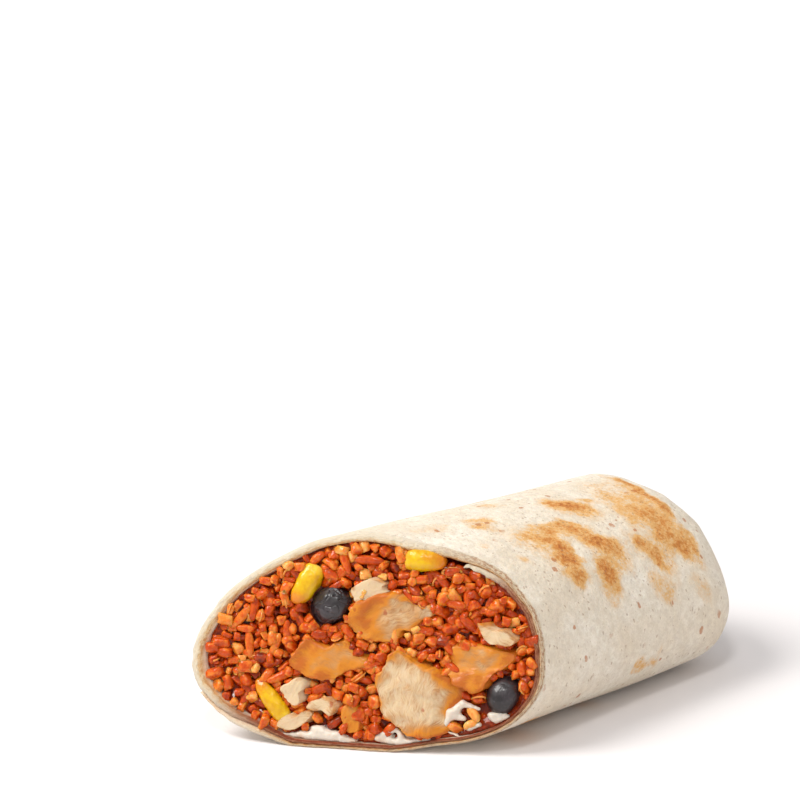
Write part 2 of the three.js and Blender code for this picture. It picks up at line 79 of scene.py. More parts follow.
# %% Sizes of the roll
TURN = 2 * math.pi
ROLL_LENGTH = 98.6
ROLL_RADII = (36.5, 33.1, 29, 24.8, 24.4, 26.6, 30.3, 29.7, 22.9, 22.4, 24.2, 31.7)
AXIS_HEIGHT = 21.2
CUT_FLOOR_BLEND = 0.8
END_FLOOR_BLEND = 2.2
CUT_FOOT_PRESS = 0.25
MID_FOOT_PRESS = 0.35
END_FOOT_PRESS = 0.08
FOOT_PRESS_HEIGHT = 6
CUT_SLANT = math.radians(54.2)
CUT_LEAN = math.radians(21.6)
END_WIDTH_SHARE = 0.96
END_HEIGHT_SHARE = 0.97
END_DROP = 2.3
END_LIFT = 0.9
END_LIFT_STATIONS = (1, 2)
END_TURN_STATIONS = (2, 2.7)
SHOULDER = 16
SHOULDER_SHRINK = 0.485
STRAIGHT = ROLL_LENGTH - SHOULDER
SHOULDER_START = ROLL_LENGTH / 2 - SHOULDER
DIMPLE = 2.6
PLEAT_HEIGHT = 0.7
PLEATS = 5
PLEAT_TWIST = 3
PINCH_SHARE = 0.035
# Soft waves of the sheet: how many round the roll, how fast along it, where they start and their height.
UNDULATIONS = ((3, 2.2, 0.4, 0.20), (5, -3.1, 1.9, 0.20), (8, 5.7, 4.4, 0.13), (13, -8.3, 2.7, 0.08),
               (21, 12.9, 0.8, 0.045))
WAVES_FADE = (0.03, 0.5)
NORMAL_STEP = 0.02
ROLL_IN_PART = Matrix.Translation((0.013506, -0.001881, 0)) @ Matrix.Scale(0.001, 4)


def smoothstep(value, start, stop):
    """0 before start and 1 after stop, with a soft climb between them."""
    share = np.clip((np.asarray(value, float) - start) / (stop - start), 0, 1)
    return share * share * (3 - 2 * share)


def mix(first, second, share):
    return first + (second - first) * share


# %% The skin


def roll_radius(angle):
    """Distance from the axis to the skin: a smooth closed curve through the twelve radii."""
    count = len(ROLL_RADII)
    total = np.zeros_like(angle)
    for k, radius in enumerate(ROLL_RADII):
        half = (angle - k * TURN / count) / 2
        half = np.where(np.abs(np.sin(half)) < 1e-6, 1e-6, half)
        total += radius * np.sin(count * half) / (count * np.tan(half))
    return total


def undulation(angle, station):
    """Shallow soft waves of the sheet, the same in every ply so that plies never cross."""
    return sum(height * np.sin(round_waves * angle + along_waves * station + start)
               for round_waves, along_waves, start, height in UNDULATIONS)


def cut_x(y, z):
    return -ROLL_LENGTH / 2 - y / math.tan(CUT_SLANT) + (z - AXIS_HEIGHT) * math.tan(CUT_LEAN)


def section_share(station):
    """How much of its full size the section keeps at a station."""
    shoulder = 1 - SHOULDER_SHRINK * (1 - np.cos((np.clip(station, 1, 2) - 1) * math.pi / 2))
    return np.where(station <= 2, shoulder, mix(1 - SHOULDER_SHRINK, PINCH_SHARE, station - 2))


def skin_height(rise, station):
    """Height over the surface: its own weight presses a flat foot, and the folded end stands clear."""
    along = np.clip(station, 0, 1)
    blend = mix(CUT_FLOOR_BLEND, END_FLOOR_BLEND, along)
    near = np.maximum(blend - np.abs(AXIS_HEIGHT + rise), 0)
    rounded = np.maximum(AXIS_HEIGHT + rise, 0) + near * near / (4 * blend)
    press = mix(CUT_FOOT_PRESS, END_FOOT_PRESS, along) + MID_FOOT_PRESS * np.sin(math.pi * along)
    pressed = rounded - press * (1 - smoothstep(rounded, 0, FOOT_PRESS_HEIGHT))
    return np.maximum(pressed, 0) + END_LIFT * smoothstep(station, *END_LIFT_STATIONS)


def skin(angle, station):
    """Points on the roll's outer skin, as rows of X, Y and Z."""
    along = np.clip(station, 0, 1)
    inward = np.clip(station - 2, 0, 1)
    share = section_share(station)
    radius = roll_radius(angle) * share + undulation(angle, station) * smoothstep(share, *WAVES_FADE)
    y = radius * np.cos(angle) * mix(1, END_WIDTH_SHARE, along)
    rise = radius * np.sin(angle) * mix(1, END_HEIGHT_SHARE, along) - END_DROP * along
    z = skin_height(rise, station)
    pleat = PLEAT_HEIGHT * np.sin(inward * math.pi) * np.cos(PLEATS * angle + PLEAT_TWIST * inward)
    end_x = ROLL_LENGTH / 2 - DIMPLE * inward * inward + pleat
    shoulder_x = SHOULDER_START + SHOULDER * np.sin((np.clip(station, 1, 2) - 1) * math.pi / 2)
    folded_x = np.where(station > 2, end_x, shoulder_x)
    x = np.where(station <= 1, mix(cut_x(y, z), SHOULDER_START, along), folded_x)
    return np.stack([x, y, z], axis=1)


def skin_normal(angle, station):
    """Directions out of the skin, turned to face straight along the roll on the folded end."""
    round_way = skin(angle + NORMAL_STEP, station) - skin(angle - NORMAL_STEP, station)
    ahead = skin(angle, station + NORMAL_STEP) - skin(angle, station - NORMAL_STEP)
    normal = np.cross(round_way, ahead)
    normal /= np.linalg.norm(normal, axis=1, keepdims=True)
    turned = smoothstep(station, *END_TURN_STATIONS)[:, None]
    normal = normal * (1 - turned) + np.array([1.0, 0, 0]) * turned
    return normal / np.linalg.norm(normal, axis=1, keepdims=True)


def under_skin(angle, station, depth):
    """Points a depth under the skin. Along the straight part they stay in the slanted section."""
    point = skin(angle, station)
    normal = skin_normal(angle, station)
    flat = normal[:, 1:] / np.maximum(np.linalg.norm(normal[:, 1:], axis=1, keepdims=True), 1e-9)
    y = point[:, 1] - flat[:, 0] * depth
    z = point[:, 2] - flat[:, 1] * depth
    slanted = np.stack([mix(cut_x(y, z), SHOULDER_START, np.clip(station, 0, 1)), y, z], axis=1)
    return np.where((station <= 1)[:, None], slanted, point - normal * depth[:, None])


# %% The cut face's own frame: across it, up it and out of it
cut_out = Vector((-1, -1 / math.tan(CUT_SLANT), math.tan(CUT_LEAN))).normalized()
cut_across = Vector((1 / math.tan(CUT_SLANT), -1, 0)).normalized()
cut_up = cut_out.cross(cut_across)
CUT_IN_ROLL = Matrix.Translation((-ROLL_LENGTH / 2, 0, AXIS_HEIGHT)) @ Matrix(
    (cut_across, cut_up, cut_out)).transposed().to_4x4()
RUN_ACROSS = cut_across.x / cut_out.x
RUN_UP = cut_up.x / cut_out.x


def on_cut(points):
    """Rows of across, up and out as rows of X, Y and Z."""
    turn = np.array(CUT_IN_ROLL.to_3x3())
    return points @ turn.T + np.array(CUT_IN_ROLL.translation)


print("cut face looks towards", tuple(round(value, 2) for value in cut_out))

# %% [markdown]
# ## Small tools
# Pieces are modelled with bmesh operators and then placed by formulas, so a few helpers carry most of the
# work: some read and write all the points of a bmesh at once, one gives a rough form small even faces so
# that it can be sculpted, and one turns a finished bmesh into a piece of the frame.

# %% Tools for points and pieces


def points_of(bm):
    return np.array([vertex.co for vertex in bm.verts])


def move_points(bm, place):
    """Moves every point of a bmesh by a function that takes and returns rows of coordinates."""
    for vertex, co in zip(bm.verts, place(points_of(bm))):
        vertex.co = co


def mark_points(bm, **marks):
    """Stores one number for each point under each name, which a material reads by that name."""
    for name, values in marks.items():
        layer = bm.verts.layers.float.new(name)
        for vertex, value in zip(bm.verts, values):
            vertex[layer] = value


def roughen(bm, height):
    """Pushes every point along its normal by a height that depends on where it is."""
    bm.normal_update()
    moves = [vertex.normal * height(vertex.co) for vertex in bm.verts]
    for vertex, move in zip(bm.verts, moves):
        vertex.co += move


def remeshed(bm, face_size):
    """The same closed form made of small even faces."""
    bmesh.ops.recalc_face_normals(bm, faces=bm.faces)
    rough = bpy.data.objects.new("rough", bpy.data.meshes.new("rough"))
    bm.to_mesh(rough.data)
    bm.free()
    scene.collection.objects.link(rough)
    even = rough.modifiers.new("even faces", "REMESH")
    even.mode = "VOXEL"
    even.voxel_size = face_size
    shaped = rough.evaluated_get(bpy.context.evaluated_depsgraph_get())
    fine = bmesh.new()
    fine.from_mesh(shaped.to_mesh())
    shaped.to_mesh_clear()
    bpy.data.objects.remove(rough)
    return fine


def soften(bm, times):
    for _ in range(times):
        bmesh.ops.smooth_vert(bm, verts=bm.verts, factor=0.5, use_axis_x=True, use_axis_y=True,
                              use_axis_z=True)


def make_piece(name, bm, material, stands_for=()):
    """Puts a finished form in the frame, in metres, with its material."""
    mesh = bpy.data.meshes.new(name)
    bm.to_mesh(mesh)
    bm.free()
    mesh.transform(ROLL_IN_PART)
    mesh.shade_smooth()
    mesh.materials.append(material)
    piece = bpy.data.objects.new(name, mesh)
    scene.collection.objects.link(piece)
    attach(piece, "root")
    if stands_for:
        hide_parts(*stands_for)
    print(name, len(mesh.polygons), "faces")
    return piece


# %% [markdown]
# ## Tools for materials
# Every food is painted in the same way: a base colour, and then further colours laid over it through masks
# that come from noise or from marks on the points. The tools below add one such step in one line.

# %% Nodes


def linear(red, green, blue):
    """A colour as seen on screen, from 0 to 255, in the linear values that shaders use."""
    shares = [part / 255 for part in (red, green, blue)]
    parts = [share / 12.92 if share <= 0.04045 else ((share + 0.055) / 1.055) ** 2.4 for share in shares]
    return (*parts, 1.0)


class Nodes:
    """The node tree of a material or a group, with short ways to add what the looks are made from."""

    def __init__(self, tree):
        self.tree = tree

    def add(self, kind, values=None, **settings):
        """A shader node with its settings made and its sockets filled with numbers or linked."""
        node = self.tree.nodes.new("ShaderNode" + kind)
        for name, value in settings.items():
            setattr(node, name, value)
        for socket, value in (values or {}).items():
            if isinstance(value, bpy.types.NodeSocket):
                self.tree.links.new(value, node.inputs[socket])
            else:
                node.inputs[socket].default_value = value
        return node

    def place(self):
        return self.add("TexCoord").outputs["Object"]

    def mark(self, name):
        return self.add("Attribute", attribute_name=name).outputs["Fac"]

    def math(self, operation, *values):
        return self.add("Math", dict(enumerate(values)), operation=operation).outputs[0]

    def times(self, first, second):
        return self.math("MULTIPLY", first, second)

    def plus(self, first, second):
        return self.math("ADD", first, second)

    def stretched(self, value, factor, shift):
        return self.math("MULTIPLY_ADD", value, factor, shift)

    def vector(self, operation, first, second):
        return self.add("VectorMath", {0: first, 1: second}, operation=operation).outputs[0]

    def noise(self, place, scale, detail=2.0, roughness=0.5):
        return self.add("TexNoise", {"Vector": place, "Scale": scale, "Detail": detail,
                                     "Roughness": roughness})

    def between(self, value, low, high, to_low=0.0, to_high=1.0):
        """Spreads the stretch from low to high over 0 to 1, with soft ends."""
        return self.add("MapRange", {"Value": value, "From Min": low, "From Max": high, "To Min": to_low,
                                     "To Max": to_high}, interpolation_type="SMOOTHSTEP").outputs["Result"]

    def blended(self, share, first, second):
        """Two colours mixed by a share. A colour is a socket, or red, green and blue from 0 to 255."""
        first, second = (linear(*tint) if isinstance(tint, tuple) else tint for tint in (first, second))
        return self.add("Mix", {0: share, 6: first, 7: second}, data_type="RGBA").outputs[2]

    def ramp(self, value, *stops):
        """Colours that follow a value, from stops of the value, red, green and blue."""
        node = self.add("ValToRGB", {"Fac": value})
        elements = node.color_ramp.elements
        while len(elements) < len(stops):
            elements.new(0.5)
        for element, (place, *tint) in zip(elements, stops):
            element.position = place
            element.color = linear(*tint)
        return node.outputs["Color"]

    def group(self, group, **values):
        return self.add("Group", values, node_tree=group).outputs[0]

    def mottled(self, scale, low, high, roughness=0.55):
        return self.group(mottling, Scale=scale, Low=low, High=high, Roughness=roughness)

    def flecked(self, scale, size, share):
        return self.group(flecks, Scale=scale, Size=size, Share=share)

    def rippled(self, coarse, fine):
        return self.group(wet_relief, Coarse=coarse, Fine=fine)


class Look(Nodes):
    """A material with one Principled shader, whose base colour is laid on in layers."""

    def __init__(self, name, glow=None, **surface):
        self.material = bpy.data.materials.new(name)
        self.material.use_nodes = True
        super().__init__(self.material.node_tree)
        self.shader = self.tree.nodes["Principled BSDF"]
        for socket, value in surface.items():
            self.shader.inputs[socket.replace("_", " ")].default_value = value
        if glow:
            self.shader.inputs["Subsurface Radius"].default_value = glow
        self.paint = None

    def lay(self, mask, tint, share=1.0):
        """Lays a colour over what is there, where the mask says, by no more than a share."""
        if share != 1.0:
            mask = self.times(mask, share)
        self.paint = self.blended(mask, self.paint, tint)

    def finish(self, height, distance, strength):
        """Links the paint and a height, as relief in millimetres, and gives the finished material."""
        self.tree.links.new(self.paint, self.shader.inputs["Base Color"])
        bump = self.add("Bump", {"Height": height, "Distance": distance / 1000, "Strength": strength})
        self.tree.links.new(bump.outputs["Normal"], self.shader.inputs["Normal"])
        return self.material


# %% [markdown]
# ## Shared effects
# Three things happen on more than one food: it is mottled in soft patches, it carries small dark flecks,
# and its wet surface has a fine unevenness that breaks up its shine. Each is a node group, built once. The
# flecks come from Voronoi cells, because a fleck is a lone spot and a cell gives each spot its own random
# size.

# %% Node groups
FLECK_STRETCH = (1, 1, 0.62)
FLECK_RAGGED = 0.0009


def new_group(name, inputs, output, build):
    """A node group of numbers, whose one output is what the build function makes from its inputs."""
    group = bpy.data.node_groups.new(name, "ShaderNodeTree")
    for socket, start in inputs.items():
        made = group.interface.new_socket(socket, in_out="INPUT", socket_type="NodeSocketFloat")
        made.default_value = start
    group.interface.new_socket(output, in_out="OUTPUT", socket_type="NodeSocketFloat")
    given = group.nodes.new("NodeGroupInput").outputs
    result = group.nodes.new("NodeGroupOutput").inputs
    group.links.new(build(Nodes(group), given), result[output])
    return group


def build_mottling(nodes, given):
    clouds = nodes.noise(nodes.place(), given["Scale"], 5.0, given["Roughness"])
    return nodes.between(clouds.outputs["Fac"], given["Low"], given["High"])


def build_flecks(nodes, given):
    plain = nodes.place()
    ragged = nodes.noise(plain, 900.0).outputs["Color"]
    shift = nodes.vector("MULTIPLY", ragged, (FLECK_RAGGED,) * 3)
    torn = nodes.vector("ADD", nodes.vector("MULTIPLY", plain, FLECK_STRETCH), shift)
    cells = nodes.add("TexVoronoi", {"Vector": torn, "Scale": given["Scale"]}).outputs
    chance = nodes.add("SeparateColor", {"Color": cells["Color"]}).outputs
    present = nodes.math("LESS_THAN", chance["Red"], given["Share"])
    reach = nodes.times(given["Size"], chance["Green"])
    spot = nodes.between(nodes.math("SUBTRACT", reach, cells["Distance"]), 0.0, 0.08)
    return nodes.times(spot, present)


def build_wet_relief(nodes, given):
    place = nodes.place()
    coarse = nodes.noise(place, given["Coarse"]).outputs["Fac"]
    fine = nodes.noise(place, given["Fine"]).outputs["Fac"]
    return nodes.plus(coarse, nodes.times(fine, given["Fine share"]))


mottling = new_group("Mottling", {"Scale": 100.0, "Roughness": 0.55, "Low": 0.4, "High": 0.6}, "Mask",
                     build_mottling)
flecks = new_group("Flecks", {"Scale": 200.0, "Size": 0.25, "Share": 0.3}, "Mask", build_flecks)
wet_relief = new_group("Wet relief", {"Coarse": 500.0, "Fine": 2200.0, "Fine share": 0.3}, "Height",
                       build_wet_relief)
print("node groups", [group.name for group in (mottling, flecks, wet_relief)])

# %% [markdown]
# ## The tortilla
# The real sheet is a disc of wheat dough, baked on a hotplate: cream, dusted with flour, and toasted brown
# where it touched the plate. Winding a flat grid by the formula gives one sheet with a real thickness, a
# spiral of plies at the cut and a free edge, which a hollow shell would not show. The grid starts as one
# flat sheet, is extruded once for its thickness, and is wound up by moving its points.

# %% Sizes of the sheet
SHEET_MEAN = 1.6
SHEET_SWING = 0.42
SHEET_THICKEST = math.radians(70)
PLY_GAP = 0.18
INNER_EDGE = math.radians(119)
OUTER_EDGE = math.radians(700)
EDGE_BOW = math.radians(30)
END_SPIRAL = math.radians(30)
OUTER_TAPER = math.radians(26)
OUTER_SHARE = 0.12
INNER_TAPER = math.radians(14)
INNER_SHARE = 0.55
POCKET_RAMP = math.radians(32)
POCKET_RAMP_END = math.radians(11)
CLEARANCE = 0.3
SHEET_COLUMNS = 400
SHEET_ROWS = 104
SHEET_LAYERS = 3
STATION_SHARES = (0, 0.68, 0.88, 1)
# The knife pressed the plies together on the left and below: how much, how deep and between which degrees.
CUT_SQUEEZE = 0.46
SQUEEZE_REACH = 18
SQUEEZE_FROM = (96, 150)
SQUEEZE_TO = (292, 338)


def sheet_thickness(angle):
    return SHEET_MEAN + SHEET_SWING * np.cos(angle - SHEET_THICKEST)


def ply_pitch(angle):
    return sheet_thickness(angle) + PLY_GAP


def ply_depth(angle):
    """Depth of the sheet's outer face: one ply down where the sheet lies under itself."""
    return ply_pitch(angle) * (1 - smoothstep(angle, OUTER_EDGE - TURN, INNER_EDGE + TURN))


def pocket_depth(angle):
    """Depth of the inside of the innermost ply."""
    wound = INNER_EDGE + np.mod(angle - INNER_EDGE, TURN)
    ramp_up = smoothstep(wound, INNER_EDGE + TURN - POCKET_RAMP, INNER_EDGE + TURN - POCKET_RAMP_END)
    return mix(ply_depth(wound), ply_pitch(wound), ramp_up) + sheet_thickness(wound) + CLEARANCE


def within(degrees, rise, fall):
    """1 between two stretches of degrees, with a soft climb over one and a soft fall over the other."""
    return smoothstep(degrees, *rise) * (1 - smoothstep(degrees, *fall))


def squeeze(angle, along):
    """The share of its thickness that a stack of two plies keeps where the knife pressed it together."""
    pressed = within(np.degrees(np.mod(angle, TURN)), SQUEEZE_FROM, SQUEEZE_TO)
    return 1 - CUT_SQUEEZE * pressed * (1 - smoothstep(along, 0, SQUEEZE_REACH))


def wall_depth(angle, along=0.0):
    """Depth of the filling under the skin, at millimetres from the cut."""
    return pocket_depth(angle) * squeeze(angle, along)


def outer_edge(station):
    bow = EDGE_BOW * (np.clip(station, 0, 2) / 2) ** 2
    return OUTER_EDGE - bow - END_SPIRAL * np.clip(station - 2, 0, 1)


def thinning(away, share, taper):
    """The share of its thickness that the sheet loses at an angle from an edge that keeps a share."""
    return (1 - share) * (1 - smoothstep(away, 0, taper))


def on_sheet(flat):
    """Station, angle and millimetres from the cut for points of the flat sheet."""
    station = np.interp(flat[:, 1], STATION_SHARES, [0, 1, 2, 3])
    return station, mix(INNER_EDGE, outer_edge(station), flat[:, 0]), station * STRAIGHT


# %% Toast
# Strokes of toast: angle in degrees and millimetres from the cut, from and to, then half width and strength.
TOAST = (
    (117, 30, 128, 32, 2.4, 0.72), (128, 32, 137, 30.5, 2.5, 0.8), (137, 30.5, 147, 27.5, 2.8, 0.85),
    (120, 27, 142, 27, 5.2, 0.36), (113, 36.5, 114, 45, 2.6, 0.46), (114, 45, 119, 47.5, 2.6, 0.5),
    (119, 47, 128, 43, 2.2, 0.4), (116, 38, 122, 33, 3.2, 0.45), (96, 55, 101, 57.5, 2.7, 0.85),
    (95, 54, 107, 58.5, 4.2, 0.4), (92, 52, 95, 55, 1.3, 0.2), (94, 63, 97, 65, 1.3, 0.5),
    (129, 48, 131, 46, 1.7, 0.8), (132, 49, 138, 51.5, 2.2, 0.68), (128, 47, 142, 50, 4.6, 0.4),
    (140, 45, 150, 41, 3.2, 0.34), (148, 41, 153, 40, 2.0, 0.75), (147, 41, 158, 39, 3.6, 0.42),
    (142, 64.5, 148, 66.5, 2.3, 0.72), (140, 63, 150, 68, 4.8, 0.36), (139, 75, 149, 80, 2.5, 0.72),
    (146, 84, 150, 88, 2.2, 0.68), (140, 76, 152, 88, 4.8, 0.38), (84, 96, 101, 91, 2.8, 1.0),
    (101, 91, 114, 90, 2.8, 0.95), (114, 90, 121, 93, 2.3, 0.7), (84, 91, 120, 87, 5.6, 0.42),
    (103, 72, 121, 71, 4.2, 0.42), (110, 80, 122, 76, 4.2, 0.44), (121, 76, 131, 80, 3.2, 0.5),
    (133, 86, 143, 94, 3.2, 0.5), (163, 59, 168, 64.5, 2.6, 0.34), (130, 14, 131, 13, 1.7, 0.36),
    (108, 33, 109, 33.5, 1.0, 0.5), (199, 49, 198, 57, 1.6, 0.42), (72, 40, 74, 41, 1.8, 0.3),
    (97, 22, 98, 23, 2.0, 0.36), (112, 10, 113, 11, 1.8, 0.28), (88, 25, 90, 27, 2.0, 0.5),
    (86, 75, 97, 83, 5.0, 0.26), (94, 30, 112, 24, 6.0, 0.08), (85, 8, 86, 16, 1.6, 0.26),
    (168, 79, 172, 84, 2.5, 0.24),
)
SPARE_STROKES = 36
SPARE_ANGLES = (215, 404)
TOAST_SEED = 5
TOAST_SPREAD = 2.1
TOAST_END = 110
MM_PER_DEGREE = math.radians(1) * 29
# How fast the wide and the fine drift of the toast change along the sheet, and their heights.
TOAST_DRIFTS = ((0.22, 2.0), (0.7, 1.1))


def toast_strokes():
    """The strokes of toast that show from the cut's side, and others like them for the rest of the sheet."""
    rng = random.Random(TOAST_SEED)
    strokes = list(TOAST)
    for _ in range(SPARE_STROKES):
        angle = rng.uniform(*SPARE_ANGLES)
        along = rng.uniform(6, 96)
        spread = (angle, along, angle + rng.uniform(4, 18), along + rng.uniform(-5, 5))
        width = rng.uniform(0.9, 2.7)
        strokes.append((*spread, width, rng.uniform(0.35, 0.85)))
        strokes.append((*spread, TOAST_SPREAD * width, rng.uniform(0.2, 0.38)))
    return strokes


def toast_at(angle, along):
    """How toasted the skin is, from 0 to 1, at an angle in radians and millimetres from the cut."""
    # Unseeded, the noise vectors would be drawn from the clock, and the toast would drift from run to run.
    noise.seed_set(TOAST_SEED)
    around = np.degrees(np.mod(angle, TURN))
    drift = np.zeros((len(angle), 2))
    for i in np.flatnonzero(along < TOAST_END):
        spot = Vector((around[i] * MM_PER_DEGREE, along[i], 0))
        drift[i] = sum((height * noise.noise_vector(spot * speed) for speed, height in TOAST_DRIFTS),
                       Vector()).xy
    around = around + drift[:, 0] / MM_PER_DEGREE
    along = along + drift[:, 1]
    plain = np.ones_like(angle)
    for angle_a, along_a, angle_b, along_b, width, strength in toast_strokes():
        offset = np.mod(around - angle_a + 180, 360) - 180
        run = np.array([(angle_b - angle_a) * MM_PER_DEGREE, along_b - along_a])
        away = np.stack([offset * MM_PER_DEGREE, along - along_a], axis=1)
        share = np.clip(away @ run / (run @ run), 0, 1)
        distance = np.linalg.norm(away - share[:, None] * run, axis=1)
        plain *= 1 - 0.85 * strength * (1 - smoothstep(distance, 0, TOAST_SPREAD * width))
    return 1 - plain


# %% Wind the sheet
RIM_REACH = 6
RIM_ROUNDING = 0.35
RIM_WAVES = ((0.22, 0.25), (1.3, 0.35))
RAGGED_HEIGHT = 1.3
RAGGED_ANGLES = (math.radians(4), math.radians(26))


def wound(flat):
    """Places for points of the flat sheet: columns are shares round, along and through the sheet."""
    station, angle, along = on_sheet(flat)
    lost_outside = thinning(outer_edge(station) - angle, OUTER_SHARE, OUTER_TAPER)
    lost_inside = thinning(angle - INNER_EDGE, INNER_SHARE, INNER_TAPER)
    through = mix(lost_outside, 1 - lost_inside, flat[:, 2])
    depth = (ply_depth(angle) + through * sheet_thickness(angle)) * squeeze(angle, along)
    torn = (1 - smoothstep(angle - INNER_EDGE, *RAGGED_ANGLES)) * (1 - smoothstep(along, 0.5, 5))
    placed = under_skin(angle, station, depth)
    rounding = np.where(flat[:, 1] < 1e-6, RIM_ROUNDING * np.abs(2 * flat[:, 2] - 1) ** 3, 0)
    for i in np.flatnonzero(along < RIM_REACH):
        spot = Vector((angle[i] * 14, flat[i, 2] * 1.4, 0))
        wobble = sum(height * noise.noise(spot * speed) for speed, height in RIM_WAVES)
        ragged = RAGGED_HEIGHT * torn[i] * noise.noise(Vector((angle[i] * 22, 3.1, 0)))
        placed[i, 0] += (wobble + ragged) * (1 - along[i] / RIM_REACH) + rounding[i]
    return placed


def tortilla_form():
    """The wound sheet, with its toast, soaked-in orange and painted shade, plies and torn places marked."""
    bm = bmesh.new()
    bmesh.ops.create_grid(bm, x_segments=SHEET_COLUMNS, y_segments=SHEET_ROWS, size=0.5,
                          matrix=Matrix.Translation((0.5, 0.5, 0)))
    grown = bmesh.ops.extrude_face_region(bm, geom=bm.faces[:], use_keep_orig=True)
    upper = [item for item in grown["geom"] if isinstance(item, bmesh.types.BMVert)]
    bmesh.ops.translate(bm, verts=upper, vec=(0, 0, 1))
    through = [edge for edge in bm.edges if abs(edge.verts[0].co.z - edge.verts[1].co.z) > 0.5]
    bmesh.ops.subdivide_edges(bm, edges=through, cuts=SHEET_LAYERS, use_grid_fill=True)
    flat = points_of(bm)
    station, angle, along = on_sheet(flat)
    under_edge = OUTER_EDGE - TURN
    torn = (1 - smoothstep(angle - INNER_EDGE, 0.1, 0.5)) * (1 - smoothstep(along, 1.5, 7))
    free_edge = (1 - smoothstep(outer_edge(station) - angle, 0.1, 0.7)) * (1 - smoothstep(along, 0.5, 4))
    inside = (flat[:, 2] > 0.99) * (1 - smoothstep(angle, under_edge + 2.2, under_edge + 3.0))
    wet_inside = mix(0.45, 1, smoothstep(along, 0.5, 6)) * inside
    # Near the cut the ply that lies under the other is coloured orange on all its faces: partly sauce that
    # seeps between the plies, partly painted shade in the gap between them.
    lies_under = ply_depth(angle) > 0.8 * ply_pitch(angle)
    soak_and_gap_shade = 0.55 * lies_under * (1 - smoothstep(along, 2, 9))
    mark_points(
        bm,
        toast=toast_at(angle, along) * (flat[:, 2] < 0.01),
        cut=(flat[:, 1] < 1e-6) * (1 - 0.8 * free_edge),
        layer=flat[:, 2],
        round=angle,
        inner=1 - smoothstep(angle, under_edge - 0.5, under_edge + 0.05),
        torn=torn,
        flaky=within(np.degrees(np.mod(angle, TURN)), (84, 132), (290, 335)),
        stain=np.maximum(np.maximum(wet_inside, 0.45 * free_edge), soak_and_gap_shade) * (1 - torn))
    move_points(bm, wound)
    bmesh.ops.recalc_face_normals(bm, faces=bm.faces)
    return bm


# %% [markdown]
# ## The look of the tortilla
# The skin has five layers of colour: warm cream dough, a floury grey mottling, toast in brown strokes that
# break up at their edges, small dark flecks, and orange where the filling has soaked in. Near the cut the
# same orange lies on the ply under the other, partly as sauce seeping in and partly as painted shade in the
# gap between the plies. The cut edge shows the crumb instead, in thin lines along the sheet: clean on the
# left, flaky on the right, and browner in the inner ply, partly soaked and partly painted shade. Toast, the
# orange with its shade, and crumb are marks on the points, because their places are known, and noise in the
# material breaks them up.

# %% Tortilla material


def tortilla_material():
    look = Look("baked flour tortilla", (1.0, 0.7, 0.45), Roughness=0.72, Specular_IOR_Level=0.35,
                Subsurface_Weight=0.12, Subsurface_Scale=0.0008)
    soft = look.mottled(70.0, 0.35, 0.68)
    flour = look.mottled(520.0, 0.35, 0.66, 0.7)
    look.paint = look.blended(soft, (232, 219, 198), (242, 234, 219))
    look.lay(flour, (206, 192, 172), 0.5)
    look.lay(look.mottled(1900.0, 0.4, 0.7, 0.8), (196, 178, 152), 0.35)

    patchy = look.stretched(look.mottled(300.0, 0.28, 0.72, 0.75), 0.72, 0.46)
    grainy = look.stretched(look.mottled(1100.0, 0.3, 0.7, 0.8), 0.9, 0.64)
    grained = look.times(look.times(look.mark("toast"), patchy), grainy)
    heat = look.plus(grained, look.times(look.mottled(95.0, 0.6, 0.8, 0.6), 0.1))
    look.lay(look.between(heat, 0.02, 0.42), (222, 174, 110))
    look.lay(look.between(heat, 0.34, 0.78), (200, 130, 60))
    look.lay(look.between(heat, 0.75, 1.15), (166, 94, 42))
    dark_spots = look.times(look.flecked(300.0, 0.3, 0.5), look.between(heat, 0.25, 0.8, 0.0, 0.6))
    look.lay(dark_spots, (150, 80, 40))
    look.lay(look.flecked(1250.0, 0.4, 0.4), (158, 124, 96), 0.5)
    gathered = look.times(look.flecked(420.0, 0.4, 0.36), look.mottled(110.0, 0.4, 0.56, 0.6))
    look.lay(gathered, (180, 108, 56), 0.7)
    # Orange where the filling has soaked in; near the cut, on the ply under the other, it is also painted
    # shade in the gap between the plies.
    stain = look.times(look.mark("stain"), look.stretched(soft, 0.5, 0.5))
    look.lay(look.between(stain, 0.1, 0.9), (222, 160, 84))

    layer = look.mark("layer")
    lines = look.add("CombineXYZ", {"X": look.times(layer, 4.5), "Y": look.times(look.mark("round"), 22.0)})
    layered = look.noise(lines.outputs[0], 1.0, 6.0, 0.6).outputs["Fac"]
    through = look.plus(layer, look.stretched(layered, 1.3, -0.65))
    clean_crumb = look.ramp(through, (0.0, 222, 210, 190), (0.5, 224, 210, 184), (0.85, 216, 184, 138),
                            (1.1, 200, 150, 98))
    flaky_crumb = look.ramp(through, (0.0, 206, 188, 160), (0.16, 162, 112, 78), (0.26, 210, 192, 164),
                            (0.44, 204, 182, 150), (0.52, 150, 98, 64), (0.62, 208, 186, 152),
                            (0.85, 198, 150, 98), (1.0, 176, 108, 54))
    # In the inner ply the crumb is browner, with dark lines: partly soaked with sauce, partly painted shade
    # in the gaps between the plies and along the bottom of the rim.
    soaked_and_shaded_crumb = look.ramp(through, (0.05, 180, 132, 98), (0.3, 124, 58, 34), (0.5, 170, 116, 82),
                             (0.7, 122, 56, 32), (1.0, 146, 66, 32))
    crumb = look.blended(look.mark("flaky"), clean_crumb, flaky_crumb)
    cut = look.mark("cut")
    look.lay(cut, look.blended(look.mark("inner"), crumb, soaked_and_shaded_crumb))
    look.lay(look.mark("torn"), (222, 208, 182))
    relief = look.plus(look.rippled(260.0, 1500.0), look.times(flour, 0.35))
    relief = look.plus(relief, look.times(cut, look.times(layered, 4.0)))
    return look.finish(relief, 0.5, 0.55)


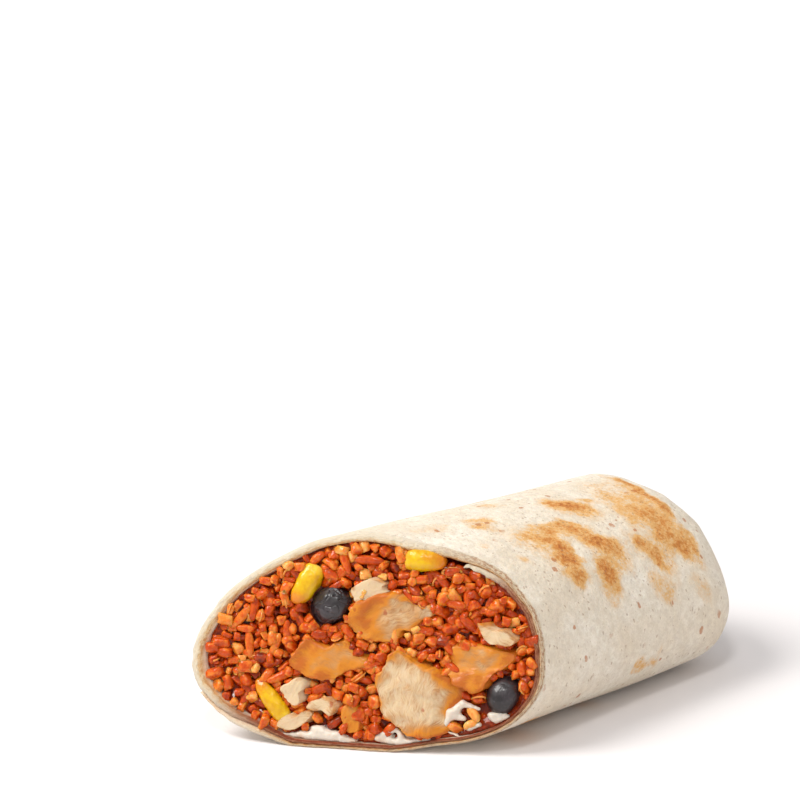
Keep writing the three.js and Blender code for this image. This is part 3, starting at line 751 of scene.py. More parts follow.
make_piece("tortilla_sheet", tortilla_form(), tortilla_material(), ("tortilla",))

# %% [markdown]
# ## Chicken
# Cooked chicken breast is torn and diced, so a piece has a cut outline, soft corners, a face of fine
# parallel fibres and a golden skin where it met the pan. A box with bevels would look like cheese. Here each
# piece starts as its outline on the cut, is extruded back along the roll, is remade in small even faces and
# then sculpted: sloped, lumped and combed along its fibres. The outlines follow the pieces in the
# photograph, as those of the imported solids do.

# %% Outlines of the chicken
# A piece has its place on the cut, how far its face stands out, its depth back along the roll, the angle of
# its fibres and how golden it is all over. A slope is the fall of its face across and up, and where a crease
# starts. Golden places are across, up, reach in millimetres and strength.
NO_CREASE = 99
CHICKEN = {
    "chicken_chunk_1": {
        "at": (7.9, -8.6), "front": 0.9, "depth": 13, "fibres": 84, "start": -0.3, "slope": (0.03, 0, 4.2),
        "gold": (
            (-4.6, 8.6, 2.6, 0.9), (-0.6, 7.6, 2.2, 0.8), (-8.2, 3, 2.2, 0.8), (-7.6, -2.6, 1.7, 0.7),
            (2.6, 5.4, 1.8, 0.6), (8.4, -3.2, 2.8, 1.7), (6.2, 3.4, 2.4, 1.3), (9, 1, 2.4, 1.2),
            (1, -10.6, 3.8, 1.3), (6, -9.6, 3, 1.2), (-5.4, -6.4, 1.6, 0.6)),
        "outline": (
            (-4.3, 9.4), (-2.4, 8.4), (-0.3, 7.1), (1.3, 5.9), (2, 5.5), (4.1, 4.9), (6, 3.7), (8, 3.1),
            (9.6, 2.8), (9.9, 1.2), (9.5, -0.3), (8.9, -1.7), (9.2, -2.8), (7.7, -3.6), (7.3, -4.7),
            (7.4, -6.9), (6.8, -8.9), (4.8, -10), (1.6, -10.1), (-1.3, -9.9), (-2.7, -8.4), (-4.6, -7),
            (-6.3, -5.7), (-7.3, -4), (-7.8, -1.6), (-8.4, 1.1), (-8.3, 3.1), (-7.2, 4.5), (-6, 6.6),
            (-5.4, 8.4))},
    "chicken_chunk_2": {
        "at": (1.8, 7.4), "front": 0.6, "depth": 12, "fibres": 24, "start": 0.1,
        "slope": (0.12, -0.08, NO_CREASE),
        "gold": (
            (-6, 0, 3.6, 0.95), (-4, 4, 2.6, 0.95), (-3.4, -3.6, 2.8, 0.6), (-1.4, 4.6, 2, 0.7),
            (6, -0.4, 1.8, 0.4), (2, -3, 2, 0.35)),
        "outline": (
            (-8.6, 0.2), (-8.2, 2), (-7.4, 3.6), (-5.6, 3.9), (-4.3, 4.9), (-2.5, 5.7), (0.3, 5.4),
            (3, 4.8), (5.1, 3.8), (6.9, 3.5), (8.3, 3.1), (8.8, 1.8), (8.2, 0.4), (6, -0.6), (4.3, -2.3),
            (2.3, -2.8), (1.4, -4.2), (-0.1, -5.2), (-2.4, -5.1), (-4.7, -4.8), (-7, -4), (-8.3, -2))},
    "chicken_chunk_3": {
        "at": (-12, -2.1), "front": 0.2, "depth": 12, "fibres": -22, "start": 0.4,
        "slope": (0.08, 0.1, NO_CREASE),
        "gold": (
            (-4.6, 1.4, 3.6, 0.5), (-1, -4.4, 3, 0.7), (5, -2.2, 2.4, 0.45), (-6.4, -1.4, 2.4, 0.7),
            (-5, 3.6, 1.6, 0.5)),
        "outline": (
            (-8.6, -1), (-7.3, 1.1), (-6.2, 2.8), (-4.9, 4.2), (-3.3, 3.6), (-1.6, 2.8), (0, 2.4),
            (0.8, 3.6), (2.7, 4.1), (4.3, 2.9), (5.8, 1.6), (7.4, 0.8), (8.8, 0), (8.2, -1.4),
            (5.7, -2.4), (3.7, -3.4), (1.7, -4.7), (-1, -5), (-4.3, -4.1), (-7.1, -2.7))},
    "chicken_chunk_4": {
        "at": (22.4, -2.2), "front": 0.3, "depth": 12, "fibres": 8, "start": 0.34,
        "slope": (-0.05, 0.1, NO_CREASE),
        "gold": (
            (-7.6, 1.4, 2.6, 0.7), (-3.4, -3, 3.4, 0.75), (1.6, -3.4, 2.4, 0.8), (6.6, 2, 2.6, 0.8),
            (3.4, -0.8, 1.8, 0.5), (-4.4, 4.4, 1.6, 0.4)),
        "outline": (
            (-8.9, 3.3), (-7.2, 4.3), (-4.4, 4.2), (-1.8, 4.8), (0.9, 4.5), (4.1, 4), (7.1, 3.7),
            (8, 2.4), (7, 1), (5.4, -0.2), (3.5, -1.2), (2.2, -3), (1.2, -4.6), (-0.6, -5.2),
            (-2.7, -4.4), (-5, -3.7), (-7.1, -2.4), (-8.3, -0.9), (-8.6, 1.1))},
    "chicken_scrap_1": {
        "at": (-3.8, 14), "front": 0.5, "depth": 6, "fibres": 25, "start": -0.75,
        "slope": (0.1, 0, NO_CREASE),
        "gold": ((3, 2.2, 1.6, 0.6), (-3, 0.4, 1, 0.5)),
        "outline": (
            (-3.5, -0.6), (-2.5, 0.6), (-1.1, 1.6), (0.7, 2.3), (2.3, 2.2), (3.9, 1.1), (3, 0.2),
            (4.7, -0.6), (2.9, -1.4), (1.1, -2.4), (-0.9, -3.4), (-2.3, -2.6))},
    "chicken_scrap_2": {
        "at": (25.6, 5.3), "front": 1.4, "depth": 3.4, "fibres": -10, "start": -0.4,
        "gold": ((3, -2, 1.6, 0.4), (-3, 1.8, 1.4, 0.5)),
        "outline": (
            (-3.9, 2.3), (-2.1, 1.7), (-0.3, 1.1), (1.3, 1.2), (2.7, 0.6), (3.9, -0.6), (4.8, -1.2),
            (4.2, -2.2), (2.6, -2.5), (1, -2.2), (-0.8, -2.3), (-2.2, -1.2))},
    "chicken_scrap_3": {
        "at": (-17.6, -15.4), "front": 0.4, "depth": 4.4, "fibres": 25, "start": -0.5,
        "gold": ((1.6, 0.8, 2, 0.6), (-4, -2.8, 1.4, 0.3)),
        "outline": (
            (-5.3, -2.3), (-4.4, -0.7), (-2.8, 0.1), (-1.2, -0.1), (0.3, 1.2), (2.1, 1.5), (2.9, 0.6),
            (1.8, -0.8), (0.3, -2.2), (-1.5, -3.1), (-3.6, -3.2))},
    "chicken_scrap_4": {
        "at": (-18.9, -9.9), "front": 0.9, "depth": 5, "fibres": 60, "start": -0.8,
        "gold": ((-2.6, -0.4, 1.2, 0.4),),
        "outline": (
            (-3.5, 0.9), (-1.7, 1.9), (0.1, 2.9), (1.8, 1.9), (1.6, 0.5), (0.8, -0.4), (1.1, -2.4),
            (-0.3, -3.2), (-1.9, -2.2), (-2.9, -0.7))},
    "chicken_scrap_5": {
        "at": (-12.6, -12.2), "front": 0.7, "depth": 4.5, "fibres": 5, "start": -0.45,
        "gold": ((-2.6, -1.2, 1.4, 0.3), (2.4, -2, 1.4, 0.3)),
        "outline": (
            (-3.4, -1), (-2.6, 0.4), (-0.8, 1.1), (1.3, 0.8), (2.8, -0.7), (2.2, -2.3), (1.3, -2.8),
            (-0.2, -1.7), (-2, -1.6))},
    "chicken_scrap_6": {
        "at": (-5.9, -14.6), "front": 0, "depth": 6, "fibres": 75, "start": 0.5,
        "gold": ((0, -2, 2, 0.3),),
        "outline": (
            (-2, 2), (-0.2, 2.5), (1.3, 1), (1.8, -1.4), (1.5, -3.4), (-0.3, -4), (-1.8, -2.5),
            (-2.3, -0.1))},
}
FLAT = (0, 0, NO_CREASE)
SCRAP_DEPTH = 8
SCRAP_SIZE = 0.55
CHUNK_FACE_SIZE = 0.3
SCRAP_FACE_SIZE = 0.2
BACK_SHARE = 0.82
MOST_RISE = 0.8
CREASE_FALL = 0.4


def smooth_outline(corners, per_side):
    """A closed Catmull-Rom curve through the corners."""
    points = np.array(corners, float)
    made = []
    for i in range(len(points)):
        a, b, c, d = (points[(i + k) % len(points)] for k in (-1, 0, 1, 2))
        for t in np.arange(per_side) / per_side:
            square = (2 * a - 5 * b + 4 * c - d) * 0.5 * t * t
            cube = (3 * b - a - 3 * c + d) * 0.5 * t ** 3
            made.append(b + ((c - a) * 0.5 * t + square + cube))
    return np.array(made)


def edge_distance(points, outline):
    """Distance from flat points to a closed outline, positive inside it."""
    nearest = np.full(len(points), 1e9)
    inside = np.zeros(len(points), bool)
    for a, b in zip(outline, np.roll(outline, -1, axis=0)):
        run = b - a
        share = np.clip(((points - a) @ run) / (run @ run), 0, 1)
        nearest = np.minimum(nearest, np.linalg.norm(points - a - share[:, None] * run, axis=1))
        spans = (a[1] > points[:, 1]) != (b[1] > points[:, 1])
        crossing = a[0] + (points[:, 1] - a[1]) * run[0] / (run[1] if abs(run[1]) > 1e-9 else 1e-9)
        inside ^= spans & (points[:, 0] < crossing)
    return np.where(inside, nearest, -nearest)


# %% Sculpt a piece of chicken


def torn_edge(outline, seed, size):
    """Small tears along an outline, so that its edge isn't one clean curve."""
    tears = np.array([noise.noise(Vector((x * 0.9, y * 0.9, seed * 4.7))) * 0.25
                      + noise.noise(Vector((x * 2.4, y * 2.4, seed * 4.7))) * 0.4 for x, y in outline])
    away = outline - outline.mean(axis=0)
    return outline + away / np.linalg.norm(away, axis=1, keepdims=True) * (tears * size)[:, None]


def chicken_form(spec, seed):
    """A piece of chicken in the roll's millimetres, with its golden places and its fibres marked."""
    big = spec["depth"] > SCRAP_DEPTH
    size = 1.0 if big else SCRAP_SIZE
    outline = torn_edge(smooth_outline(spec["outline"], 5), seed, size)
    bm = bmesh.new()
    front = bm.faces.new([bm.verts.new((across, up, 0)) for across, up in outline])
    back = bmesh.ops.extrude_face_region(bm, geom=[front], use_keep_orig=True)
    moved = [item for item in back["geom"] if isinstance(item, bmesh.types.BMVert)]
    bmesh.ops.scale(bm, vec=(BACK_SHARE, BACK_SHARE, 1), verts=moved)
    bmesh.ops.translate(bm, vec=(0, 0, -spec["depth"]), verts=moved)
    bm = remeshed(bm, CHUNK_FACE_SIZE if big else SCRAP_FACE_SIZE)
    soften(bm, 3)
    turn = math.radians(spec["fibres"])
    fibre = Vector((math.cos(turn), math.sin(turn), 0))
    beside = Vector((-math.sin(turn), math.cos(turn), 0))
    here = Vector((seed * 7.3, seed * 3.1, 0))
    slope_across, slope_up, crease = spec.get("slope", FLAT)

    def relief(co):
        strand = Vector((co.dot(fibre) * 0.12, co.dot(beside) * 1.1, co.z * 0.5)) + here
        fine = Vector((co.dot(fibre) * 0.3, co.dot(beside) * 3.2, co.z)) + here
        lump = noise.noise(co * 0.2 + here) * 0.9 + noise.noise(co * 0.5 + here) * 0.22
        ridges = 0.5 - abs(noise.noise(strand))
        return size * (lump + 0.2 * ridges + 0.06 * noise.noise(fine))

    for vertex in bm.verts:
        fall = max(vertex.co.x * slope_across + vertex.co.y * slope_up, -MOST_RISE)
        vertex.co.z -= fall + CREASE_FALL * max(vertex.co.x - crease, 0)
    roughen(bm, relief)
    inner = points_of(bm)
    depth_share = np.clip(-inner[:, 2] / spec["depth"], 0, 1)
    edge = edge_distance(inner[:, :2] / mix(1, BACK_SHARE, depth_share)[:, None], outline)
    patches = np.array([noise.noise(vertex.co * 0.5 + here) for vertex in bm.verts])
    gold = spec["start"] + 0.45 * (1 - smoothstep(edge, 0.05, 0.9 * size)) + 0.35 * patches
    for across, up, reach, strength in spec["gold"]:
        gold += strength * (1 - smoothstep(np.hypot(inner[:, 0] - across, inner[:, 1] - up), 0, 1.5 * reach))
    mark_points(bm, gold=np.clip(gold, -1, 1.4), along=inner @ np.array(fibre),
                beside=inner @ np.array(beside))

    def place(points):
        shear = points[:, 2:] * np.array([[RUN_ACROSS, RUN_UP, 0]])
        return on_cut(points + shear + np.array([*spec["at"], spec["front"]]))

    move_points(bm, place)
    bmesh.ops.recalc_face_normals(bm, faces=bm.faces)
    return bm


# %% Chicken material
FLESH_WHITE = (221, 197, 160)
FLESH_PALE = (200, 166, 122)
FLESH_DARK = (172, 114, 64)
FLESH_WARM = (206, 148, 84)
GOLD = (212, 134, 32)
TOASTED_GOLD = (190, 102, 22)
SAUCE = (170, 66, 14)


def chicken_material():
    look = Look("roast chicken", (1.0, 0.7, 0.4), Roughness=0.45, Specular_IOR_Level=0.25,
                Subsurface_Weight=0.4, Subsurface_Scale=0.0008, Coat_Weight=0.2, Coat_Roughness=0.2)
    gold = look.mark("gold")
    waves = look.noise(look.place(), 170.0).outputs["Fac"]
    strands = look.add("CombineXYZ", {"X": look.times(look.mark("along"), 0.2),
                                      "Y": look.plus(look.mark("beside"), look.stretched(waves, 7.0, -3.5))})
    combed = look.noise(strands.outputs[0], 2.2, 4.0, 0.7).outputs["Fac"]
    look.paint = look.blended(look.between(combed, 0.3, 0.6), FLESH_DARK, FLESH_PALE)
    look.lay(look.mottled(260.0, 0.35, 0.65, 0.6), FLESH_WARM, 0.45)
    dryness = look.plus(gold, look.stretched(combed, -1.2, 0.6))
    look.lay(look.between(dryness, -0.6, 0.3, 0.95, 0.0), FLESH_WHITE)
    heat = look.plus(gold, look.stretched(combed, 0.9, -0.45))
    look.lay(look.between(heat, 0.05, 0.7), GOLD)
    look.lay(look.between(heat, 0.66, 1.2), TOASTED_GOLD)
    look.lay(look.flecked(420.0, 0.3, 0.14), SAUCE, 0.6)
    return look.finish(look.plus(combed, look.rippled(900.0, 2600.0)), 0.28, 0.5)


def make_each(specs, ending, form, material):
    """A piece for each named spec, seeded by its place in the table."""
    for number, (name, spec) in enumerate(specs.items()):
        make_piece(name + ending, form(spec, number + 1), material, (name,))


make_each(CHICKEN, "_torn", chicken_form, chicken_material())

# %% [markdown]
# ## Beans and sweetcorn
# A cooked black bean is an egg shape with a hollow belly and a taut skin that wrinkles a little, and a
# sweetcorn kernel is a soft wedge that is squared off by its neighbours on the cob. Both are made from a
# fine ball whose points are moved by a formula, because a ball has even faces all over and no corners to
# hide.

# %% Beans
BALL_CUTS = 6
BEANS = {
    "black_bean_1": {"at": (-12.1, 9.7), "out": -2.6, "half": (5.3, 4.6, 4.2), "turn": 30, "dip": -35,
                     "wrinkle": 0.5},
    "black_bean_2": {"at": (28.2, -8.1), "out": -2.2, "half": (4.6, 3.9, 3.6), "turn": 62, "dip": 20,
                     "wrinkle": 0.08},
}
BELLY = 0.16
CREASE_WIDTH = 0.1


def new_ball():
    bm = bmesh.new()
    bmesh.ops.create_icosphere(bm, subdivisions=BALL_CUTS, radius=1)
    return bm


def placed_on_cut(bm, spec):
    """Turns a form on the cut face and puts it in its place on the roll."""
    turn = Matrix.Rotation(math.radians(spec["turn"]), 4, "Z")
    dip = Matrix.Rotation(math.radians(spec["dip"]), 4, "Y")
    seat = Matrix.Translation((*spec["at"], spec["out"])) @ (turn @ dip)
    bmesh.ops.transform(bm, matrix=CUT_IN_ROLL @ seat, verts=bm.verts)
    bmesh.ops.recalc_face_normals(bm, faces=bm.faces)
    return bm


def bean_form(spec, seed):
    bm = new_ball()
    here = Vector((seed * 5.1, 0, 0))

    def swell(points):
        x, y, z = points.T
        belly = np.where(y < 0, BELLY * (1 - x * x) * y * y * (1 - 0.6 * z * z), 0)
        return np.stack([x, y + belly, z], axis=1) * np.array(spec["half"])

    def wrinkles(co):
        warp = Vector((noise.noise(co * 0.35 + here), noise.noise(co * 0.35 - here), 0))
        fold = Vector((co.x * 0.3, co.y * 0.6, co.z * 0.6)) + here + warp
        crease = max(0, CREASE_WIDTH - abs(noise.noise(fold))) / CREASE_WIDTH
        return spec["wrinkle"] * (0.4 * noise.noise(co * 0.6 + here) - crease ** 2)

    move_points(bm, swell)
    roughen(bm, wrinkles)
    return placed_on_cut(bm, spec)


def bean_material():
    look = Look("black bean skin", Roughness=0.42, Specular_IOR_Level=0.5, Coat_Weight=0.35,
                Coat_Roughness=0.06)
    look.paint = look.blended(look.mottled(320.0, 0.35, 0.7, 0.6), (24, 17, 19), (54, 46, 50))
    look.lay(look.flecked(650.0, 0.3, 0.2), (96, 96, 104), 0.25)
    return look.finish(look.rippled(700.0, 2500.0), 0.12, 0.5)


make_each(BEANS, "_skin", bean_form, bean_material())

# %% Sweetcorn
CORN = {
    "sweetcorn_1": {"at": (-17.9, 14.2), "out": -1.3, "half": (5.1, 2.6, 2.7), "turn": 242, "dip": -8},
    "sweetcorn_2": {"at": (9.1, 21), "out": -1.8, "half": (4.9, 2.5, 3.1), "turn": -2, "dip": -6},
    "sweetcorn_3": {"at": (-24.6, -12), "out": -1.4, "half": (5.9, 2.1, 2.2), "turn": 130, "dip": 0},
}
KERNEL_SQUARENESS = 0.72
KERNEL_TAPER = 0.26
KERNEL_SOFTENING = 30


def kernel_form(spec, seed):
    bm = new_ball()
    here = Vector((seed * 3.7, 1.2, 0))

    def swell(points):
        square = np.sign(points) * np.abs(points) ** KERNEL_SQUARENESS * np.array(spec["half"])
        square[:, 1:] *= 1 - KERNEL_TAPER * points[:, :1]
        return square

    move_points(bm, swell)
    soften(bm, KERNEL_SOFTENING)
    roughen(bm, lambda co: 0.22 * noise.noise(co * 0.4 + here) + 0.1 * noise.noise(co * 1.1 + here))
    mark_points(bm, tip=0.5 - 0.5 * points_of(bm)[:, 0] / spec["half"][0])
    return placed_on_cut(bm, spec)


def corn_material():
    look = Look("sweetcorn skin", (1.0, 0.7, 0.1), Roughness=0.3, Specular_IOR_Level=0.3,
                Subsurface_Weight=0.4, Subsurface_Scale=0.001, Coat_Weight=0.3, Coat_Roughness=0.1)
    look.paint = look.blended(look.mottled(330.0, 0.35, 0.65), (212, 156, 4), (226, 184, 12))
    look.lay(look.between(look.mark("tip"), 0.82, 1.06), (244, 208, 90))
    look.lay(look.between(look.mark("tip"), 0.0, 0.42, 1.0, 0.0), (214, 122, 20))
    look.lay(look.mottled(180.0, 0.56, 0.7, 0.6), (222, 130, 14), 0.5)
    return look.finish(look.rippled(600.0, 1800.0), 0.12, 0.5)


make_each(CORN, "_kernel", kernel_form, corn_material())

# %% [markdown]
# ## Soured cream
# Cream is spooned along the sheet before it is rolled, so it lies along the bottom of the pocket and
# squeezes out between the grains at the cut in smears and beads. The spread is a box wound by the same
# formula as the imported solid. Balls are added where it shows on the cut, and one remesh melts them all
# together, as surface tension does.

# %% Spread and beads of cream
CREAM_FROM = math.radians(222)
CREAM_TO = math.radians(318)
CREAM_BACK = 0.85
CREAM_CUTS = ((0, 45), (1, 16))
CREAM_DEEPEST = 2.7
CREAM_SETBACK = 1.6
CREAM_FACE_SIZE = 0.3
# Smears that show on the cut: across and up, from and to, then the radius at each end.
SMEARS = (
    (-22.5, -19.6, -17.4, -19.4, 0.4, 0.7), (-17.4, -19.4, -10.5, -19.8, 0.9, 1.1),
    (-14.8, -17.8, -12.5, -17.6, 0.6, 0.6), (-14.5, -18.2, -11.6, -19, 0.9, 0.9),
    (-10.5, -19.8, -4.6, -20.1, 1.1, 0.5), (-12, -18.8, -8.5, -18.7, 0.9, 0.8),
    (0.2, -19.2, 2.6, -17.6, 0.8, 0.9), (2.6, -17.5, 4.4, -16.9, 0.8, 0.7),
    (4.6, -17, 5.6, -18.6, 0.6, 0.7), (1.2, -19.4, 5.4, -20, 0.9, 0.8), (5.4, -19.9, 9, -19.2, 0.7, 0.45),
    (9, -19.2, 12, -18.8, 0.45, 0.35), (15.6, -15.2, 16.4, -12.8, 0.7, 1.2),
    (16.4, -12.8, 19, -10.6, 1.3, 0.9), (19, -10.4, 22.8, -11.4, 0.8, 0.5),
    (15.5, -15.5, 15.8, -16.8, 0.4, 0.35), (15.8, -16.8, 18.9, -17.9, 0.45, 0.4),
    (16.8, -13.2, 19.4, -13.6, 1.0, 0.7), (20.5, -15.8, 23, -14.9, 0.7, 0.7),
    (25.4, -12.6, 28.3, -11.8, 0.8, 0.6), (25.6, -13.2, 26.6, -14, 0.7, 0.7),
    (26.8, -14, 29.4, -12.6, 0.6, 0.5),
)
SMEAR_OUT = -0.5
SMEAR_STEP = 0.5
CREAM_SEED = 3


def along_roll(points, depth):
    """Moves points back along the roll until they are a depth further behind the cut."""
    points[:, 0] -= depth / cut_out.x
    return points


def cream_form():
    bm = bmesh.new()
    bmesh.ops.create_cube(bm, size=1)
    for axis, cuts in CREAM_CUTS:
        edges = [edge for edge in bm.edges if abs((edge.verts[0].co - edge.verts[1].co)[axis]) > 0.5]
        bmesh.ops.subdivide_edges(bm, edges=edges, cuts=cuts, use_grid_fill=True)

    def spread(points):
        across, share, _ = points.T + 0.5
        blobs = 0.75 + 0.25 * np.cos(4 * TURN * across + 0.6) + 0.12 * np.sin(9 * TURN * across)
        rounded = np.sqrt(np.sin(math.pi * mix(0.06, 0.94, across)))
        thick = CREAM_DEEPEST * blobs * rounded * mix(1, 0.5, share)
        angle = mix(CREAM_FROM, CREAM_TO, across)
        depth = wall_depth(angle, share * CREAM_BACK * STRAIGHT) + np.where(points[:, 2] > 0, 0, thick)
        return along_roll(under_skin(angle, share * CREAM_BACK, depth), CREAM_SETBACK)

    move_points(bm, spread)
    rng = random.Random(CREAM_SEED)
    for across, up, to_across, to_up, radius, to_radius in SMEARS:
        steps = 2 + round(math.hypot(to_across - across, to_up - up) / SMEAR_STEP)
        for step in range(steps):
            share = step / (steps - 1)
            size = mix(radius, to_radius, share) * rng.uniform(0.9, 1.15)
            spot = Vector((mix(across, to_across, share), mix(up, to_up, share), SMEAR_OUT - 0.6 * size))
            ball = CUT_IN_ROLL @ Matrix.Translation(spot) @ Matrix.Diagonal((size, size, 1.3 * size, 1))
            bmesh.ops.create_icosphere(bm, subdivisions=2, radius=1, matrix=ball)
    bm = remeshed(bm, CREAM_FACE_SIZE)
    soften(bm, 8)
    roughen(bm, lambda co: 0.3 * noise.noise(co * 0.5) + 0.12 * noise.noise(co * 1.5))
    return bm


def cream_material():
    look = Look("soured cream", (1.0, 0.8, 0.6), Roughness=0.3, Subsurface_Weight=0.5,
                Subsurface_Scale=0.0008, Coat_Weight=0.25, Coat_Roughness=0.15)
    tinge = look.times(look.mottled(210.0, 0.5, 0.78, 0.65), 0.55)
    look.paint = look.blended(tinge, (218, 207, 192), (216, 164, 114))
    # Small reddish-brown spots stand for holes in the cream: the red filling shows in them, with painted
    # shade.
    look.lay(look.flecked(300.0, 0.42, 0.2), (150, 84, 60), 0.7)
    return look.finish(look.rippled(480.0, 1600.0), 0.4, 0.5)


make_piece("soured_cream_smears", cream_form(), cream_material(), ("soured_cream",))

# %% [markdown]
# ## Red rice and quinoa
# The filling is thousands of cooked grains stuck together with red sauce. Making them all would be wasteful,
# since only the cut shows. A closed body fills the pocket, and about a thousand separate grains are sunk in
# its face at seeded places that keep their distance from each other, in three dimensions, so that they heap
# with dark gaps between them as real ones do. A cooked quinoa grain is swollen and squashed by its
# neighbours, so it is a small block, rounded and dented, and now and then a thin curled germ lies round it.
# A rice grain is a blunt rod with a slight bend.

# %% Body of the filling
DEEP_SETBACK = 2.5
RIM_SETBACK = 1.1
RIM_SETBACK_FROM = 0.86
CORE_RINGS_FACE = 34
CORE_RINGS_STRAIGHT = 12
CORE_RINGS = 60
CORE_STEPS = 150
CORE_END_GAP = 2.4
CORE_END_DEPTH = 3.9
CORE_LAST_STATION = 2.75
# The body behind the grains is painted dark red: the red of the sauce, darkened as painted shade for the
# deep gaps between the grains.
CORE_SAUCE_AND_SHADE_TINT = 0.14


def core_form():
    bm = bmesh.new()
    bmesh.ops.create_uvsphere(bm, u_segments=CORE_STEPS, v_segments=CORE_RINGS, radius=1)
    middle = on_cut(np.zeros((1, 3)))
    far_end = [[ROLL_LENGTH / 2 - DIMPLE - CORE_END_DEPTH - 2 * CORE_END_GAP, 0, AXIS_HEIGHT]]
    ring_stations = [CORE_RINGS_FACE, CORE_RINGS_FACE + CORE_RINGS_STRAIGHT, CORE_RINGS]

    def fill(points):
        ring = np.round(np.arccos(np.clip(points[:, 2], -1, 1)) / math.pi * CORE_RINGS)
        angle = np.arctan2(points[:, 1], points[:, 0])
        station = np.interp(ring, ring_stations, [0, 1, CORE_LAST_STATION])
        gap = CORE_END_GAP * smoothstep(station, 1, 2.4)
        sides = under_skin(angle, station, wall_depth(angle, np.clip(station, 0, 1) * STRAIGHT) + gap)
        sides = np.where((ring == CORE_RINGS)[:, None], far_end, sides)
        rim = under_skin(angle, np.zeros_like(angle), wall_depth(angle))
        share = (ring / CORE_RINGS_FACE)[:, None]
        face = middle * (1 - share) + rim * share
        lumps = np.array([0.9 * noise.noise(Vector(co) * 0.42) + 0.4 * noise.noise(Vector(co) * 0.95)
                          for co in face])
        setback = mix(DEEP_SETBACK, RIM_SETBACK, smoothstep(share[:, 0], RIM_SETBACK_FROM, 1.0))
        face = along_roll(face, setback + lumps)
        sides = along_roll(sides, DEEP_SETBACK * (station <= 0))
        return np.where((ring <= CORE_RINGS_FACE)[:, None], face, sides)

    move_points(bm, fill)
    bmesh.ops.recalc_face_normals(bm, faces=bm.faces)
    mark_points(bm, tint=np.full(len(bm.verts), CORE_SAUCE_AND_SHADE_TINT), pale=np.zeros(len(bm.verts)))
    return bm


# %% Places for the grains
GRAIN_SEED = 21
QUINOA = {"most": 1100, "tries": 45000, "apart": 1.75, "margin": 0.5}
MORE_RICE = {"most": 46, "tries": 9000, "apart": 4.2, "margin": 1.8}
FACE_LOW = (-46, -23, -3.5)
FACE_HIGH = (40, 28, -0.6)
OVAL_MARGIN = 0.7
SMEAR_MARGIN = 0.7
SMEAR_DEPTH = 2.2
OVALS = [(spec["at"], spec["half"], spec["turn"], spec["out"]) for spec in (*BEANS.values(), *CORN.values())]


def free_spot(spots, margin):
    """Which spots on the cut are in the pocket and clear of chicken, beans, sweetcorn and cream."""
    places = on_cut(spots)
    rise = places[:, 2] - AXIS_HEIGHT
    angle = np.arctan2(rise, places[:, 1])
    depth = wall_depth(angle) + margin
    free = (np.hypot(places[:, 1], rise) < roll_radius(angle) - depth) & (places[:, 2] > depth)
    lapping = 0.3 + 0.6 * np.sin(spots[:, 0] * 1.7) * np.sin(spots[:, 1] * 1.9)
    for spec in CHICKEN.values():
        behind = spots[:, 2:] - spec["front"]
        flat = spots[:, :2] - np.array(spec["at"]) - behind * np.array([[RUN_ACROSS, RUN_UP]])
        free &= edge_distance(flat, smooth_outline(spec["outline"], 3)) < lapping
    for across, up, to_across, to_up, radius, to_radius in SMEARS:
        run = np.array([to_across - across, to_up - up])
        away = spots[:, :2] - np.array([across, up])
        share = np.clip(away @ run / max(run @ run, 0.01), 0, 1)
        near = np.linalg.norm(away - share[:, None] * run, axis=1)
        beside = near > mix(radius, to_radius, share) + SMEAR_MARGIN
        free &= beside | (spots[:, 2] < SMEAR_OUT - SMEAR_DEPTH)
    for at, half, turn, out in OVALS:
        spread = np.sqrt(np.clip(1 - ((spots[:, 2] - out) / half[2]) ** 2, 0.15, 1))
        across, up = (spots[:, :2] - np.array(at)).T
        c, s = math.cos(math.radians(turn)), math.sin(math.radians(turn))
        free &= np.hypot((across * c + up * s) / (half[0] * spread + OVAL_MARGIN),
                         (up * c - across * s) / (half[1] * spread + OVAL_MARGIN)) > 1
    return free


def dart_places(rng, taken, most, tries, apart, margin):
    """Random spots in the filling's face that keep their distance from each other and from those taken."""
    wanted = rng.uniform(FACE_LOW, FACE_HIGH, (tries, 3))
    kept = np.array(taken, float).reshape(-1, 3)
    first = len(kept)
    for spot in wanted[free_spot(wanted, margin)]:
        if len(kept) - first >= most:
            break
        if np.min(((kept - spot) ** 2).sum(axis=1)) > apart * apart:
            kept = np.vstack([kept, spot])
    return kept[first:]


# %% Shapes of the grains
# Rice grains that stand out in the photograph: across, up, length, angle, tint.
SHOWN_RICE = (
    (-32.5, 6.2, 7.1, 52, 0.62), (-30.3, 0.2, 6.8, 98, 0.6), (-24.4, 0.1, 6.3, 67, 0.66),
    (-9.3, 20.2, 6.8, -67, 0.5), (-4.1, 20.5, 7.8, 0, 0.42), (-22.6, -6.6, 6.9, 28, 0.55),
    (-15.6, 20.5, 4.1, 42, 0.5), (-7.9, 4.4, 4.1, -47, 0.55), (-9.7, -16.3, 4.1, 38, 0.2),
    (-29.6, 8.4, 5.9, 83, 0.38), (-11.2, 14.1, 5, 37, 0.3), (21.6, -12.6, 4.2, -48, 0.85),
    (21, -15, 3.4, 20, 0.95),
)
RICE_KEEPS_OFF = -1.1
RICE_OUT = -0.75
CORNER_LIGHT = 0.36
GERM_SHARE = 0.14
GERM_TINT = 0.9
GERM_DEEPEST = -2.2
# Tints of grains: the share of all grains that this row and those above it take, then the range of the tint.
TINTS = ((0.75, 0.22, 0.45), (0.9, 0.46, 0.76), (1, 0.04, 0.2))
# How much darker a grain is painted for each millimetre that it lies deeper: painted shade among the grains.
SHADE_BY_DEPTH = 0.14
# A quinoa grain's least and greatest half sizes in millimetres, before it is scaled as a whole.
GRAIN_HALVES = ((1.05, 0.9, 0.8), (1.9, 1.35, 1.1))
GRAIN_SCALES = (0.75, 1.4)
GRAIN_ROUNDNESS = (0.3, 0.95)
GRAIN_DENT = 0.4
BLOCK_SHARE = 0.74


